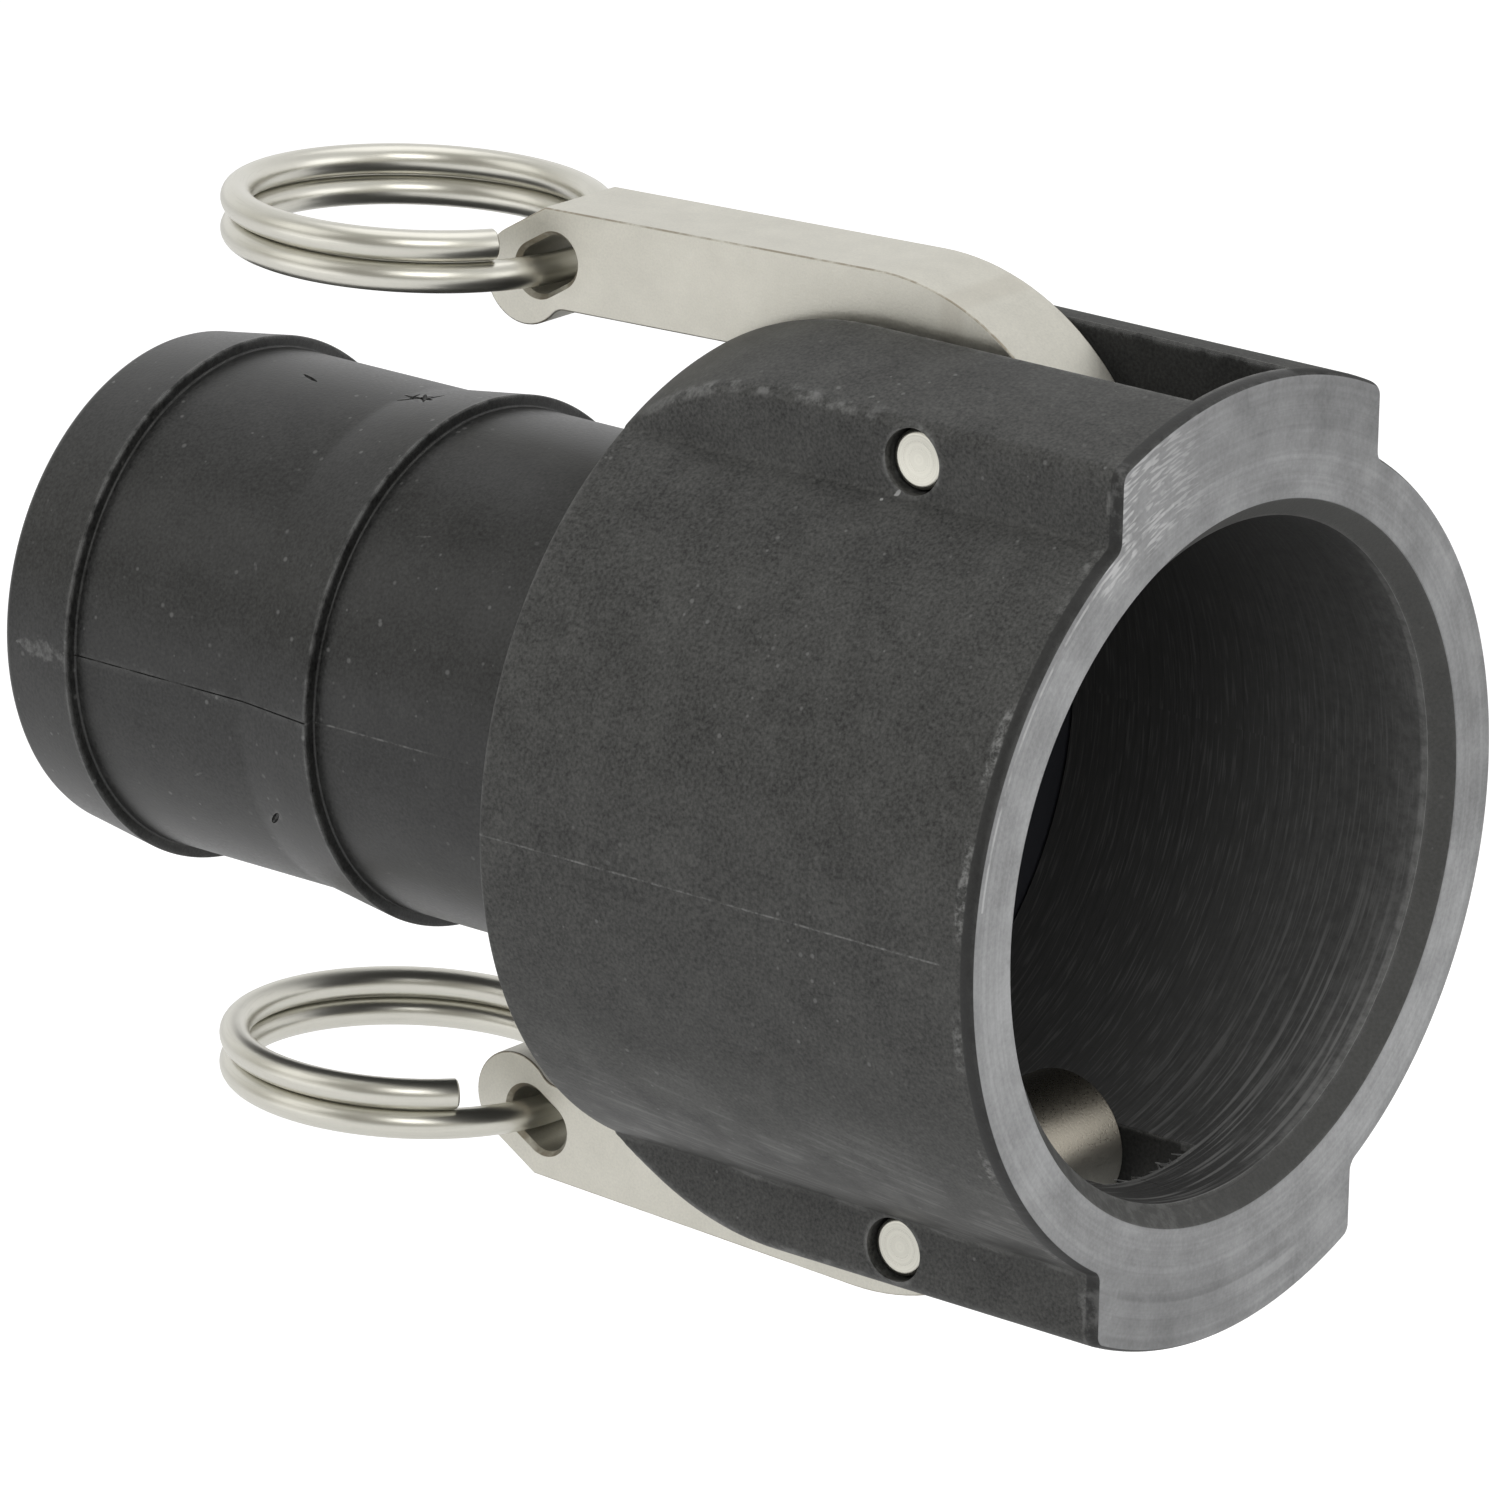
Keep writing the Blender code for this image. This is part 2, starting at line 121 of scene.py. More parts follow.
class CouplerBodySizes(bpy.types.PropertyGroup):
    """Sizes of the moulded body."""

    bell_radius: length("Bell", "Outer radius of the bell", BODY_HIGH.y - SEAM_HEIGHT)
    bell_length: length("Bell length", "From the mouth face to the back of the bell", 0.0570)
    boss_radius: length("Boss", "Radius of the tops of the bosses", BODY_HIGH.z)
    boss_half_width: length("Boss half width", "Half the width of a boss", 0.0196)
    boss_back: length("Boss back", "Length over which a boss falls to the bell", 0.0190)
    boss_edge: length("Boss edge", "Rounding of the long edges of the bosses", 0.0010)
    boss_fillet: length("Boss fillet", "Fillet between a boss and the bell", 0.0003)
    bore_radius: length("Socket bore", "Radius of the socket", 0.0320)
    mouth_chamfer: length("Mouth chamfer", "Chamfer at the entry of the socket", 0.0020)
    rim_round: length("Rim", "Drop of the rounded outer edge of the mouth face", 0.00055)
    rim_length: length("Rim length", "Length of that rounded edge along the axis", 0.0012)
    back_round: length("Back edge", "Rounding of the back edge of the bell", 0.0004)
    root_fillet: length("Shank root", "Fillet between the bell and the shank", 0.0012)
    shank_radius: length("Shank", "Radius of the hose shank", 0.0249)
    flow_radius: length("Flow bore", "Radius of the flow bore", 0.0205)
    barb_height: length("Barb height", "Height of a barb over the shank", 0.0012)
    barb_cone: length("Barb cone", "Length of the cone of the inner barb", 0.0090)
    inner_barb: length("Inner barb", "Distance of the inner barb from the mouth face", 0.08995)
    outer_barb: length("Outer barb", "Distance of the outer barb from the mouth face", 0.1205)
    barb_foot: length("Barb foot", "Fillet at the foot of the step of a barb", 0.00025)
    barb_edge: length("Barb edge", "Rounding of the crest of a barb", 0.0002)
    tail_round: length("Tail", "Rounding of the tail of the shank", 0.0010)
    seat_gap: length("Seat gap", "Clearance around the seal", 0.0003)
    slot_half_width: length("Slot half width", "Half the width of the slot for an arm", 0.0069)
    slot_front: length("Slot front", "Wall in front of the slot at the top of the boss", 0.0017)
    window_front: length("Window front", "Wall in front of the window into the socket", 0.0088)
    slot_floor: length("Slot floor", "Height of the floor of the slot behind the window", 0.03651)
    slot_back: length("Window back", "Distance of the back of the window from the mouth face", 0.03531)
    slot_edge: length("Slot edge", "Chamfer along the top edges of the slots", 0.0003)
    pin_hole: length("Pin hole", "Radius of the holes for the pivot pins", 0.0031)
    seam_height: length("Parting line", "Height of the parting line on the bell", SEAM_HEIGHT)
    seam_groove: length("Parting groove", "Depth of the parting line on the shank", 0.00013)
    seam_width: length("Parting line width", "Half the width of the parting line", 0.00012)
    seam_start: length("Parting line start", "Length of the machined rim without a parting line", 0.0037)
    whisker_length: length("Whiskers", "Length of the burr on the front edges of the windows", 0.0018)


class CouplerArmSizes(bpy.types.PropertyGroup):
    """Sizes of the cam arms, from the pin axis along the straight bar."""

    half_width: length("Half width", "Half the thickness of an arm", ARM_HIGH.y)
    tilt: angle("Tilt", "Slope of the closed arm", 2.03)
    outer: length("Outer edge", "Height of the outer edge over the pin", 0.01243)
    bar_height: length("Bar height", "Height of the straight bar", 0.00965)
    edge: length("Edge", "Rounding of the edges", 0.00022)
    head_start: length("Head start", "Where the straight bar ends and the head begins", 0.0156)
    head_radius: length("Head", "Radius of the curved head", 0.0250)
    cam_radius: length("Cam", "Radius of the cam", 0.00685)
    cam_angle: angle("Cam angle", "Direction in which the head meets the cam", 27.3)
    cam_back: angle("Cam back", "Direction in which the round of the cam ends", -142.0)
    neck_fillet: length("Neck", "Fillet between the cam and the bar", 0.0040)
    tail_reach: length("Tail", "Distance of the tail lobe from the pin", 0.05765)
    lobe_radius: length("Tail lobe", "Radius of the tail lobe", 0.00475)
    lobe_drop: length("Lobe height", "Height of the lobe's centre over the inner edge", 0.0027)
    tail_slope: angle("Tail slope", "Slope of the tail", 29.0)
    tail_fillet: length("Tail fillet", "Fillet between the lobe and the bar", 0.0020)
    hole_radius: length("Ring hole", "Radius of the hole for the ring", 0.0024)
    hole_length: length("Ring hole length", "Distance between the round ends of the hole", 0.0024)
    hole_offset: length("Ring hole offset", "Place of the hole from the lobe's centre", 0.00175)
    hole_rise: length("Ring hole rise", "Height of the hole over the lobe's centre", 0.0008)
    hole_edge: length("Ring hole edge", "Flared rim of the ring hole", 0.00045)
    pin_hole: length("Pin hole", "Radius of the hole for the pin", 0.0033)


class CouplerRingSizes(bpy.types.PropertyGroup):
    """Sizes of the pull rings."""

    radius: length("Radius", "Radius of the coils across the arm", 0.01695)
    stretch: amount("Stretch", "Length of a ring over its width", 1.03)
    shift: length("Shift", "Sideways shift of the rings", 0.0020)
    lift: length("Lift", "Height of the middle of a ring over its swing axis", 0.0011)
    seat: length("Seat", "Distance by which the wire sits towards the pin in its hole", 0.00008)
    roll: angle("Roll", "Roll of the rings about the flow axis", 1.7)
    wire_radius: length("Wire", "Radius of the wire", 0.00149)
    coil_pitch: length("Coil pitch", "Distance between the two coils", 0.00304)
    step_start: length("Step start", "Where the wire leaves the lower coil", 0.0018)
    step_end: length("Step end", "Where the wire reaches the upper coil", 0.0122)
    bend: length("Bend", "Bend of the wire beside the arm", 0.0012)
    bend_spread: length("Bend spread", "Length of that bend", 0.0045)
    upper_end: length("Upper free end", "Gap from the upper arm to the free end of its ring", 0.0042)
    lower_end: length("Lower free end", "Gap from the lower arm to the free end of its ring", 0.0067)
    end_edge: length("End edge", "Chamfer of the cut ends of the wire", 0.00018)


class CouplerFinish(bpy.types.PropertyGroup):
    """Colours of the finishes."""

    bell: colour("Bell", "Moulded skin of the bell", 0.0425, 0.0426, 0.0400)
    shank: colour("Shank", "Smoother moulded skin of the shank", 0.0200, 0.0201, 0.0193)
    face: colour("Mouth face", "Turned face of the mouth", 0.266, 0.268, 0.270)
    chamfer: colour("Chamfer", "Smooth chamfer at the entry of the socket", 0.052, 0.052, 0.049)
    bore: colour("Bore", "Turned bore of the socket", 0.054, 0.054, 0.053)
    # Pale tone for scuffs and worn edges; it is also laid on the bore's lit far and low sides as painted
    # light, and low on the bell as painted sheen
    scuff_and_painted_light: colour("Scuff", "Scuffs and worn edges of the skin", 0.36, 0.36, 0.35)
    whitened: colour("Whitened", "Whitened scratches on the mouth face", 0.56, 0.56, 0.56)
    seal: colour("Seal", "Black rubber", 0.020, 0.021, 0.026)
    arm: colour("Arm", "Blasted stainless steel", 0.622, 0.607, 0.545)
    pin: colour("Pin", "Turned stainless steel", 0.60, 0.588, 0.525)
    wire: colour("Wire", "Bright drawn wire", 0.65, 0.637, 0.575)
    pit: colour("Pit", "Dark pits in the steel", 0.12, 0.11, 0.09)
    # Brown tone for tarnished arm edges; on the cams it is a brown tone with painted shade, and a faint
    # band of it across the arms' tops is a painted reflection
    tarnish_shade_and_reflection: colour("Tarnish", "Brownish edges and cams of the arms", 0.30, 0.26, 0.20)
    # Near black for dark lines and the rim; on the slot walls, inside the gouges and in the parting
    # groove between the barbs it is painted shade
    crevice: colour("Crevice", "Dark lines, gouges and the rim", 0.008, 0.008, 0.008)


class CouplerStage(bpy.types.PropertyGroup):
    """Camera, lamps and floor."""

    view_azimuth: angle("Azimuth", "Direction of the camera from -Y towards +X", 38.802)
    view_elevation: angle("Elevation", "Height of the camera", 18.249)
    view_roll: angle("Roll", "Roll of the camera", 1.062)
    view_distance: length("Distance", "Distance of the camera from the mouth face", 0.90184)
    view_side: length("Side", "Sideways place of the camera", -0.04439)
    view_rise: length("Rise", "Upward place of the camera", 0.01047)
    lens: amount("Lens", "Focal length in millimetres on a sensor of 36 mm", 238.91)
    floor_drop: length("Floor", "Distance of the floor below the coupler", 0.085)
    floor_size: length("Floor size", "Width of the floor", 12.0)
    sky: amount("Sky", "Strength of the soft light from all round", 0.55)


# Plain geometry


def arc(centre, radius, start, end, step=ARC_STEP):
    """Points of an arc between two angles in degrees, both ends included."""
    count = max(2, math.ceil(abs(end - start) / step) + 1)
    points = []
    for i in range(count):
        turn = math.radians(start + (end - start) * i / (count - 1))
        points.append((centre[0] + radius * math.cos(turn), centre[1] + radius * math.sin(turn)))
    return points


def rotated(point, turn):
    """A flat point turned about the origin."""
    x, z = point
    return (x * math.cos(turn) - z * math.sin(turn), x * math.sin(turn) + z * math.cos(turn))


def smooth_step(value):
    """A smooth rise from 0 to 1."""
    value = max(0.0, min(1.0, value))
    return value * value * (3 - 2 * value)


def mesh_of(solid, name):
    """A mesh from a bmesh whose faces are turned outwards."""
    bmesh.ops.recalc_face_normals(solid, faces=solid.faces)
    mesh = bpy.data.meshes.new(name)
    solid.to_mesh(mesh)
    solid.free()
    return mesh


def revolved(name, section, turns):
    """A closed section of (x, radius) points carried round the X axis at a list of angles.

    A point may be a function of the angle that gives its radius, as on a parting line.
    """
    solid = bmesh.new()
    rows = []
    for turn in turns:
        row = []
        for x, radius in section:
            reach = radius(turn) if callable(radius) else radius
            row.append(solid.verts.new((x, -reach * math.cos(turn), reach * math.sin(turn))))
        rows.append(row)
    count = len(section)
    for i, row in enumerate(rows):
        after = rows[(i + 1) % len(rows)]
        for j in range(count):
            k = (j + 1) % count
            solid.faces.new((row[j], row[k], after[k], after[j]))
    return mesh_of(solid, name)


def lofted(name, rows):
    """A closed solid drawn through rows of points."""
    solid = bmesh.new()
    rings = [[solid.verts.new(point) for point in row] for row in rows]
    count = len(rows[0])
    for ring, after in zip(rings, rings[1:]):
        for i in range(count):
            j = (i + 1) % count
            solid.faces.new((ring[i], ring[j], after[j], after[i]))
    solid.faces.new(rings[0])
    solid.faces.new(rings[-1])
    return mesh_of(solid, name)


def prism(name, outline, low, high):
    """A side view outline drawn out between two heights along Y."""
    return lofted(name, [[(x, y, z) for x, z in outline] for y in (low, high)])


def placed(mesh, name):
    """A mesh as an object of the scene."""
    made = bpy.data.objects.new(name, mesh)
    bpy.context.scene.collection.objects.link(made)
    return made


def settled(made):
    """The mesh of an object with its modifiers, after which the object is removed."""
    bpy.context.view_layer.update()
    mesh = bpy.data.meshes.new_from_object(made.evaluated_get(bpy.context.evaluated_depsgraph_get()))
    bpy.data.objects.remove(made, do_unlink=True)
    return mesh


def combined(mesh, other, operation):
    """Two meshes joined, cut or kept where they meet."""
    target = placed(mesh, "target")
    tool = placed(other, "tool")
    step = target.modifiers.new("combine", 'BOOLEAN')
    step.operation = operation
    step.solver = 'MANIFOLD'
    step.object = tool
    made = settled(target)
    bpy.data.objects.remove(tool, do_unlink=True)
    return made


def flattened(mesh, limit=0.3):
    """A mesh whose flat stretches are one face each."""
    solid = bmesh.new()
    solid.from_mesh(mesh)
    bmesh.ops.remove_doubles(solid, verts=solid.verts, dist=MERGE_DISTANCE)
    bmesh.ops.dissolve_limit(
        solid, angle_limit=math.radians(limit), verts=solid.verts, edges=solid.edges
    )
    return mesh_of(solid, mesh.name)


def rounded(mesh, width, limit, segments=3):
    """A mesh whose sharp edges are rounded."""
    made = placed(flattened(mesh), "rounded")
    step = made.modifiers.new("edges", 'BEVEL')
    step.width = width
    step.segments = segments
    step.limit_method = 'ANGLE'
    step.angle_limit = math.radians(limit)
    step.use_clamp_overlap = False
    return settled(made)


def finished(mesh, name, material, sharp=32.0):
    """A smooth shaded piece of the coupler with clean normals."""
    mesh.name = name
    mesh.materials.clear()
    mesh.materials.append(material)
    mesh.shade_smooth()
    mesh.set_sharp_from_angle(angle=math.radians(sharp))
    made = placed(mesh, name)
    weights = made.modifiers.new("normals", 'WEIGHTED_NORMAL')
    weights.keep_sharp = True
    weights.weight = 60
    return made


def fitted(made, body, node):
    """A piece that rides on a body and stands for a CAD node, which is hidden."""
    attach(made, body)
    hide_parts(node)


def even_turns(count):
    """Angles all round, half a step away from the top and the sides."""
    return [2 * math.pi * (i + 0.5) / count for i in range(count)]


# Moulded body


def body_turns(sizes):
    """Angles all round, with closer ones at the sides of the bosses and at the two parting lines."""
    turns = even_turns(TURN_STEPS)
    side = math.acos(sizes.boss_half_width / sizes.bell_radius)
    crown = math.acos(sizes.boss_half_width / sizes.boss_radius)
    margin = math.radians(2.6)
    first = side - margin
    last = crown + margin
    turns = [turn for turn in turns if not first < folded(turn) < last]
    steps = 44
    for i in range(steps + 1):
        turn = first + (last - first) * i / steps
        turns += [turn, math.pi - turn, math.pi + turn, 2 * math.pi - turn]
    spread = sizes.seam_width / sizes.bell_radius
    for seam in (0.0, math.pi):
        turns += [seam - spread, seam, seam + spread]
    return sorted(turn % (2 * math.pi) for turn in turns)


def folded(turn):
    """An angle brought back to the first quarter."""
    turn = turn % math.pi
    return min(turn, math.pi - turn)


def seamed(reach, height, sizes):
    """A radius that is raised or sunk on the parting lines."""
    def at(turn):
        off = abs(math.sin(turn)) * sizes.bell_radius
        radius = reach(turn) if callable(reach) else reach
        return radius + height * max(0.0, 1 - off / sizes.seam_width)
    return at


def boss_top(sizes, x):
    """Radius of the top of a boss, level at the front and rounded down to the bell at the back."""
    height = sizes.boss_radius - sizes.bell_radius
    radius = (sizes.boss_back ** 2 + height ** 2) / (2 * height)
    past = max(0.0, sizes.boss_back - sizes.bell_length - x)
    return sizes.boss_radius - radius + math.sqrt(max(0.0, radius ** 2 - past ** 2))


def skin_distance(sizes, top, y, reach):
    """Distance outside the skin of the bell and its bosses, with round edges and fillets."""
    bell = reach - sizes.bell_radius
    height = top - sizes.bell_radius
    most = 0.4 * height
    edge = min(sizes.boss_edge, most)
    fillet = min(sizes.boss_fillet, most)
    side = abs(y) - sizes.boss_half_width
    crown = reach - top
    boss = min(-edge, max(side, crown)) + math.hypot(max(edge + side, 0.0), max(edge + crown, 0.0))
    return max(fillet, min(bell, boss)) - math.hypot(max(fillet - bell, 0.0), max(fillet - boss, 0.0))


def skin_reach(sizes, x, inset):
    """Radius of the skin at a distance along the axis, as a function of the angle."""
    top = boss_top(sizes, x)
    flush = 0.00002
    halvings = 40
    found = {}

    def at(turn):
        across = abs(math.cos(turn))
        plain = across * sizes.bell_radius > sizes.boss_half_width + 3 * sizes.boss_fillet
        if plain or top - sizes.bell_radius < flush:
            return sizes.bell_radius - inset
        key = round(across, 7)
        if key not in found:
            low = sizes.bore_radius
            high = sizes.boss_radius + CUT_MARGIN
            for _ in range(halvings):
                middle = (low + high) / 2
                outside = skin_distance(sizes, top, across * middle, middle) > -inset
                low, high = (low, middle) if outside else (middle, high)
            found[key] = low
        return found[key]
    return at


def skin_section(sizes):
    """Outer points of the bell and the bosses, from the mouth face to the back."""
    rim = sizes.rim_round
    back = sizes.back_round
    end = -sizes.bell_length
    flat_end = sizes.boss_back - sizes.bell_length
    quarter = arc((0.0, 0.0), 1.0, 0, 90, 15)
    stations = [(sizes.rim_length * (x - 1), rim * (1 - z)) for x, z in quarter]
    stations += [(-sizes.seam_start, 0.0), (-sizes.seam_start - rim, 0.0)]
    level = 8
    first = -sizes.seam_start - rim
    stations += [(first + (flat_end - first) * i / level, 0.0) for i in range(1, level + 1)]
    curved = 18
    last = end + back
    stations += [(flat_end + (last - flat_end) * i / curved, 0.0) for i in range(1, curved)]
    stations += [(x, -drop) for x, drop in arc((last, -back), back, 90, 180, 22.5)]
    points = []
    for x, inset in stations:
        reach = skin_reach(sizes, x, inset)
        ridge = seamed(reach, sizes.seam_height, sizes)
        points.append((x, ridge if x < -sizes.seam_start else reach))
    return points


def barb_section(sizes, crest, cone_end):
    """Outer points of a barb from the foot of its step to the end of its cone."""
    foot = sizes.barb_foot
    edge = sizes.barb_edge
    low = sizes.shank_radius
    high = low + sizes.barb_height
    slope = math.degrees(math.atan2(sizes.barb_height, crest - cone_end))
    points = arc((crest + foot, low + foot), foot, -90, -180, 18)
    points += arc((crest - edge, high - edge), edge, 0, 90 + slope, 18)
    return points + [(cone_end, low)]


def groove_depth(sizes, x):
    """Depth of the parting line on the shank: none on the outer barb, uneven, faint near the bell."""
    if x <= -sizes.outer_barb:
        return 0.0
    faint = 0.25
    if x > -sizes.inner_barb:
        return faint * sizes.seam_groove
    beat = 9000.0 * x * (1 + 3 * x)
    return sizes.seam_groove * (faint + (1 - faint) * abs(math.sin(beat)))


def body_section(sizes):
    """Half section of the bell, the shank, the socket, the seal groove and the flow bore."""
    tail = BODY_LOW.x
    root = sizes.root_fillet
    end = -sizes.bell_length
    round_off = sizes.tail_round
    edge = sizes.rim_round
    groove = SEAL_HIGH.z + sizes.seat_gap
    front = SEAL_HIGH.x + sizes.seat_gap
    rear = SEAL_LOW.x - sizes.seat_gap
    shank = arc((end - root, sizes.shank_radius + root), root, 0, -90, 15)
    cone_end = -sizes.inner_barb - sizes.barb_cone
    shank += barb_section(sizes, -sizes.inner_barb, cone_end)
    stations = 24
    level = -sizes.outer_barb + sizes.barb_foot - cone_end
    shank += [(cone_end + level * i / stations, sizes.shank_radius) for i in range(1, stations)]
    shank += barb_section(sizes, -sizes.outer_barb, tail + round_off)
    tail_edge = arc((tail + round_off, sizes.shank_radius - round_off), round_off, 100, 180, 20)
    inner = [
        (tail, sizes.flow_radius + edge),
        (tail + edge, sizes.flow_radius),
        (rear, sizes.flow_radius),
        (rear, groove),
        (front, groove),
        (front, sizes.bore_radius),
        (-sizes.mouth_chamfer, sizes.bore_radius),
        (0.0, sizes.bore_radius + sizes.mouth_chamfer),
    ]
    grooved = [(x, seamed(radius, -groove_depth(sizes, x), sizes)) for x, radius in shank]
    return skin_section(sizes) + grooved + tail_edge + inner


def slot_outline(sizes, sign):
    """Side view of a slot: open at the outside and the back, with a window into the socket."""
    above = sizes.boss_radius + CUT_MARGIN
    below = sizes.bore_radius - CUT_MARGIN
    lean = (sizes.window_front - sizes.slot_front) / (sizes.boss_radius - sizes.bore_radius)
    behind = -sizes.bell_length - CUT_MARGIN
    points = [
        (-sizes.slot_front + CUT_MARGIN * lean, above),
        (-sizes.window_front - CUT_MARGIN * lean, below),
        (-sizes.slot_back, below),
        (-sizes.slot_back, sizes.slot_floor),
        (behind, sizes.slot_floor),
        (behind, above),
    ]
    return [(x, z * sign) for x, z in points]


def slot_edges(sizes, sign):
    """A wedge that chamfers the top edges of a slot along the level and the rounded boss."""
    half = sizes.slot_half_width
    edge = sizes.slot_edge
    steps = 40
    start = -sizes.slot_front
    wide = half + edge + CUT_MARGIN
    rows = []
    for i in range(steps + 1):
        x = start + (-sizes.bell_length + edge - start) * i / steps
        top = math.sqrt(boss_top(sizes, x) ** 2 - half ** 2)
        low = (top - edge) * sign
        high = (top + CUT_MARGIN) * sign
        rows.append([(x, -half, low), (x, half, low), (x, wide, high), (x, -wide, high)])
    return lofted("slot_edges", rows)


def slotted(mesh, sizes):
    """A mesh with the slots for both arms cut into it."""
    half = sizes.slot_half_width
    for sign in SIDES.values():
        mesh = combined(mesh, prism("slot", slot_outline(sizes, sign), -half, half), 'DIFFERENCE')
        mesh = combined(mesh, slot_edges(sizes, sign), 'DIFFERENCE')
    return mesh


def pin_axis(side):
    """Middle of a pivot pin."""
    return JOINT_POINTS[f"{side}_arm_hinge"]


def rod(name, centre, radius, half, steps=72):
    """A round rod along Y."""
    outline = arc((centre.x, centre.z), radius, 0, 360, 360 / steps)[:-1]
    return prism(name, outline, -half, half)


def shank_reach(sizes, x):
    """Radius of the shank and its barbs at a distance along the axis."""
    inner = (-sizes.inner_barb, -sizes.inner_barb - sizes.barb_cone)
    outer = (-sizes.outer_barb, BODY_LOW.x + sizes.tail_round)
    for crest, cone_end in (inner, outer):
        if cone_end <= x <= crest:
            return sizes.shank_radius + sizes.barb_height * (x - cone_end) / (crest - cone_end)
    return sizes.shank_radius


# Gouges in the shank: distance along the axis, angle and heading in degrees, half length, half width
GOUGES = (
    (-0.0976, 87.4, 8.0, 0.0026, 0.00030),
    (-0.0972, 88.0, 52.0, 0.0019, 0.00024),
    (-0.0980, 86.9, -40.0, 0.0021, 0.00026),
    (-0.0964, 88.6, 118.0, 0.0014, 0.00020),
    (-0.0986, 88.4, 80.0, 0.0011, 0.00018),
    (-0.1105, 84.7, 20.0, 0.0014, 0.00022),
    (-0.0972, -28.4, -48.0, 0.0015, 0.00032),
)


def gouge(sizes, axial, turn, heading, half_length, half_width):
    """A spindle that cuts one gouge into the shank."""
    solid = bmesh.new()
    bmesh.ops.create_uvsphere(solid, u_segments=10, v_segments=6, radius=1.0)
    outward = Vector((0.0, -math.cos(math.radians(turn)), math.sin(math.radians(turn))))
    forward = Vector((1.0, 0.0, 0.0))
    around = outward.cross(forward)
    lean = math.radians(heading)
    along = forward * math.cos(lean) - around * math.sin(lean)
    across = outward.cross(along)
    middle = forward * axial + outward * shank_reach(sizes, axial)
    depth = 1.4 * half_width
    axes = Matrix((along * half_length, across * half_width, outward * depth)).transposed()
    bmesh.ops.transform(solid, verts=solid.verts, matrix=Matrix.Translation(middle) @ axes.to_4x4())
    return mesh_of(solid, "gouge")


def burr_whiskers(sizes, sign):
    """Thin whiskers of plastic that the cutter left on the front edge of a window.

    Sines of their number scatter their thickness, place, length and heading.
    """
    solid = bmesh.new()
    count = 33
    for i in range(count):
        thick = 0.00016 + 0.00012 * abs(math.sin(4.3 * i))
        y = sizes.slot_half_width * (-0.9 + 1.8 * (i + 0.4 * math.sin(7.7 * i)) / (count - 1))
        edge = Vector((-sizes.window_front, y, sign * math.sqrt(sizes.bore_radius ** 2 - y ** 2)))
        reach = sizes.whisker_length * (0.3 + 0.7 * abs(math.sin(2.3 * i + sign)) ** 2)
        rise = sign * (0.1 + 0.4 * math.cos(5.1 * i))
        heading = Vector((-1.0, 0.9 * math.sin(3.7 * i), rise)).normalized()
        turn = heading.to_track_quat('Z', 'Y').to_matrix().to_4x4()
        middle = edge + heading * (reach / 2 - thick) + Vector((0.0, 0.0, sign * thick))
        bmesh.ops.create_cone(
            solid, cap_ends=True, segments=5, radius1=thick, radius2=thick / 5, depth=reach,
            matrix=Matrix.Translation(middle) @ turn,
        )
    return mesh_of(solid, "whiskers")


def body_mesh(sizes):
    """The bell and shank with the bosses, the slots, the pin holes, the burrs and the gouges."""
    made = slotted(revolved("body", body_section(sizes), body_turns(sizes)), sizes)
    half = sizes.boss_half_width + CUT_MARGIN
    for side, sign in SIDES.items():
        made = combined(made, rod("pin_hole", pin_axis(side), sizes.pin_hole, half), 'DIFFERENCE')
        made = combined(made, burr_whiskers(sizes, sign), 'UNION')
    for place in GOUGES:
        made = combined(made, gouge(sizes, *place), 'DIFFERENCE')
    return made


# Seal and pins


def seal_mesh():
    """The seal ring, with round edges."""
    width = 0.0081
    edge = 0.0007
    back = SEAL_LOW.x + edge
    front = SEAL_HIGH.x - edge
    outer = SEAL_HIGH.z - edge
    inner = SEAL_HIGH.z - width + edge
    section = []
    for i, corner in enumerate(((front, outer), (back, outer), (back, inner), (front, inner))):
        section += arc(corner, edge, 90 * i, 90 * i + 90, 18)
    return revolved("seal_ring", section, even_turns(TURN_STEPS))


def pin_mesh(side):
    """A pivot pin, turned about its own axis, with round-edged ends that are slightly dished."""
    recess = 0.0002
    slack = 0.00015
    half = PIN_HIGH.y - recess
    radius = (PIN_HIGH.z - PIN_LOW.z) / 2 - slack
    edge = 0.0005
    dish = 0.00012
    flat = radius - edge
    section = [(0.0, -half + dish), (flat * 0.6, -half + dish * 0.5), (flat * 0.97, -half + dish * 0.1)]
    section += arc((flat, -half + edge), edge, -90, 0, 22.5)
    section += [(r, -y) for r, y in reversed(section)]
    solid = bmesh.new()
    drawn = [solid.verts.new((r, y, 0.0)) for r, y in section]
    edges = [solid.edges.new(pair) for pair in zip(drawn, drawn[1:])]
    bmesh.ops.spin(
        solid, geom=drawn + edges, axis=(0, 1, 0), cent=(0, 0, 0), steps=64, angle=2 * math.pi
    )
    bmesh.ops.remove_doubles(solid, verts=solid.verts, dist=MERGE_DISTANCE)
    bmesh.ops.translate(solid, verts=solid.verts, vec=pin_axis(side))
    return mesh_of(solid, f"{side}_pivot_pin")


# Cam arms


def cam_centre(sizes):
    """Centre of the cam, where its round runs on from the curved head of the arm."""
    reach = sizes.head_radius - sizes.cam_radius
    x = -sizes.head_start + reach * math.cos(sizes.cam_angle)
    return (x, sizes.outer - sizes.head_radius + reach * math.sin(sizes.cam_angle))


def lobe_centre(sizes):
    """Centre of the round lobe at the tail."""
    return (-sizes.tail_reach, sizes.outer - sizes.bar_height + sizes.lobe_drop)


def neck_points(sizes):
    """Back of the cam: a straight side from the cam's round, and a fillet into the inner edge."""
    inner = sizes.outer - sizes.bar_height
    heading = math.degrees(sizes.cam_back)
    end = arc(cam_centre(sizes), sizes.cam_radius, heading, heading)[0]
    heading -= 90
    rise = (inner - end[1]) / math.sin(math.radians(heading))
    corner_x = end[0] + rise * math.cos(math.radians(heading))
    bend = 180 - heading % 360
    start_x = corner_x - sizes.neck_fillet * math.tan(math.radians(bend / 2))
    return arc((start_x, inner - sizes.neck_fillet), sizes.neck_fillet, 90 - bend, 90)


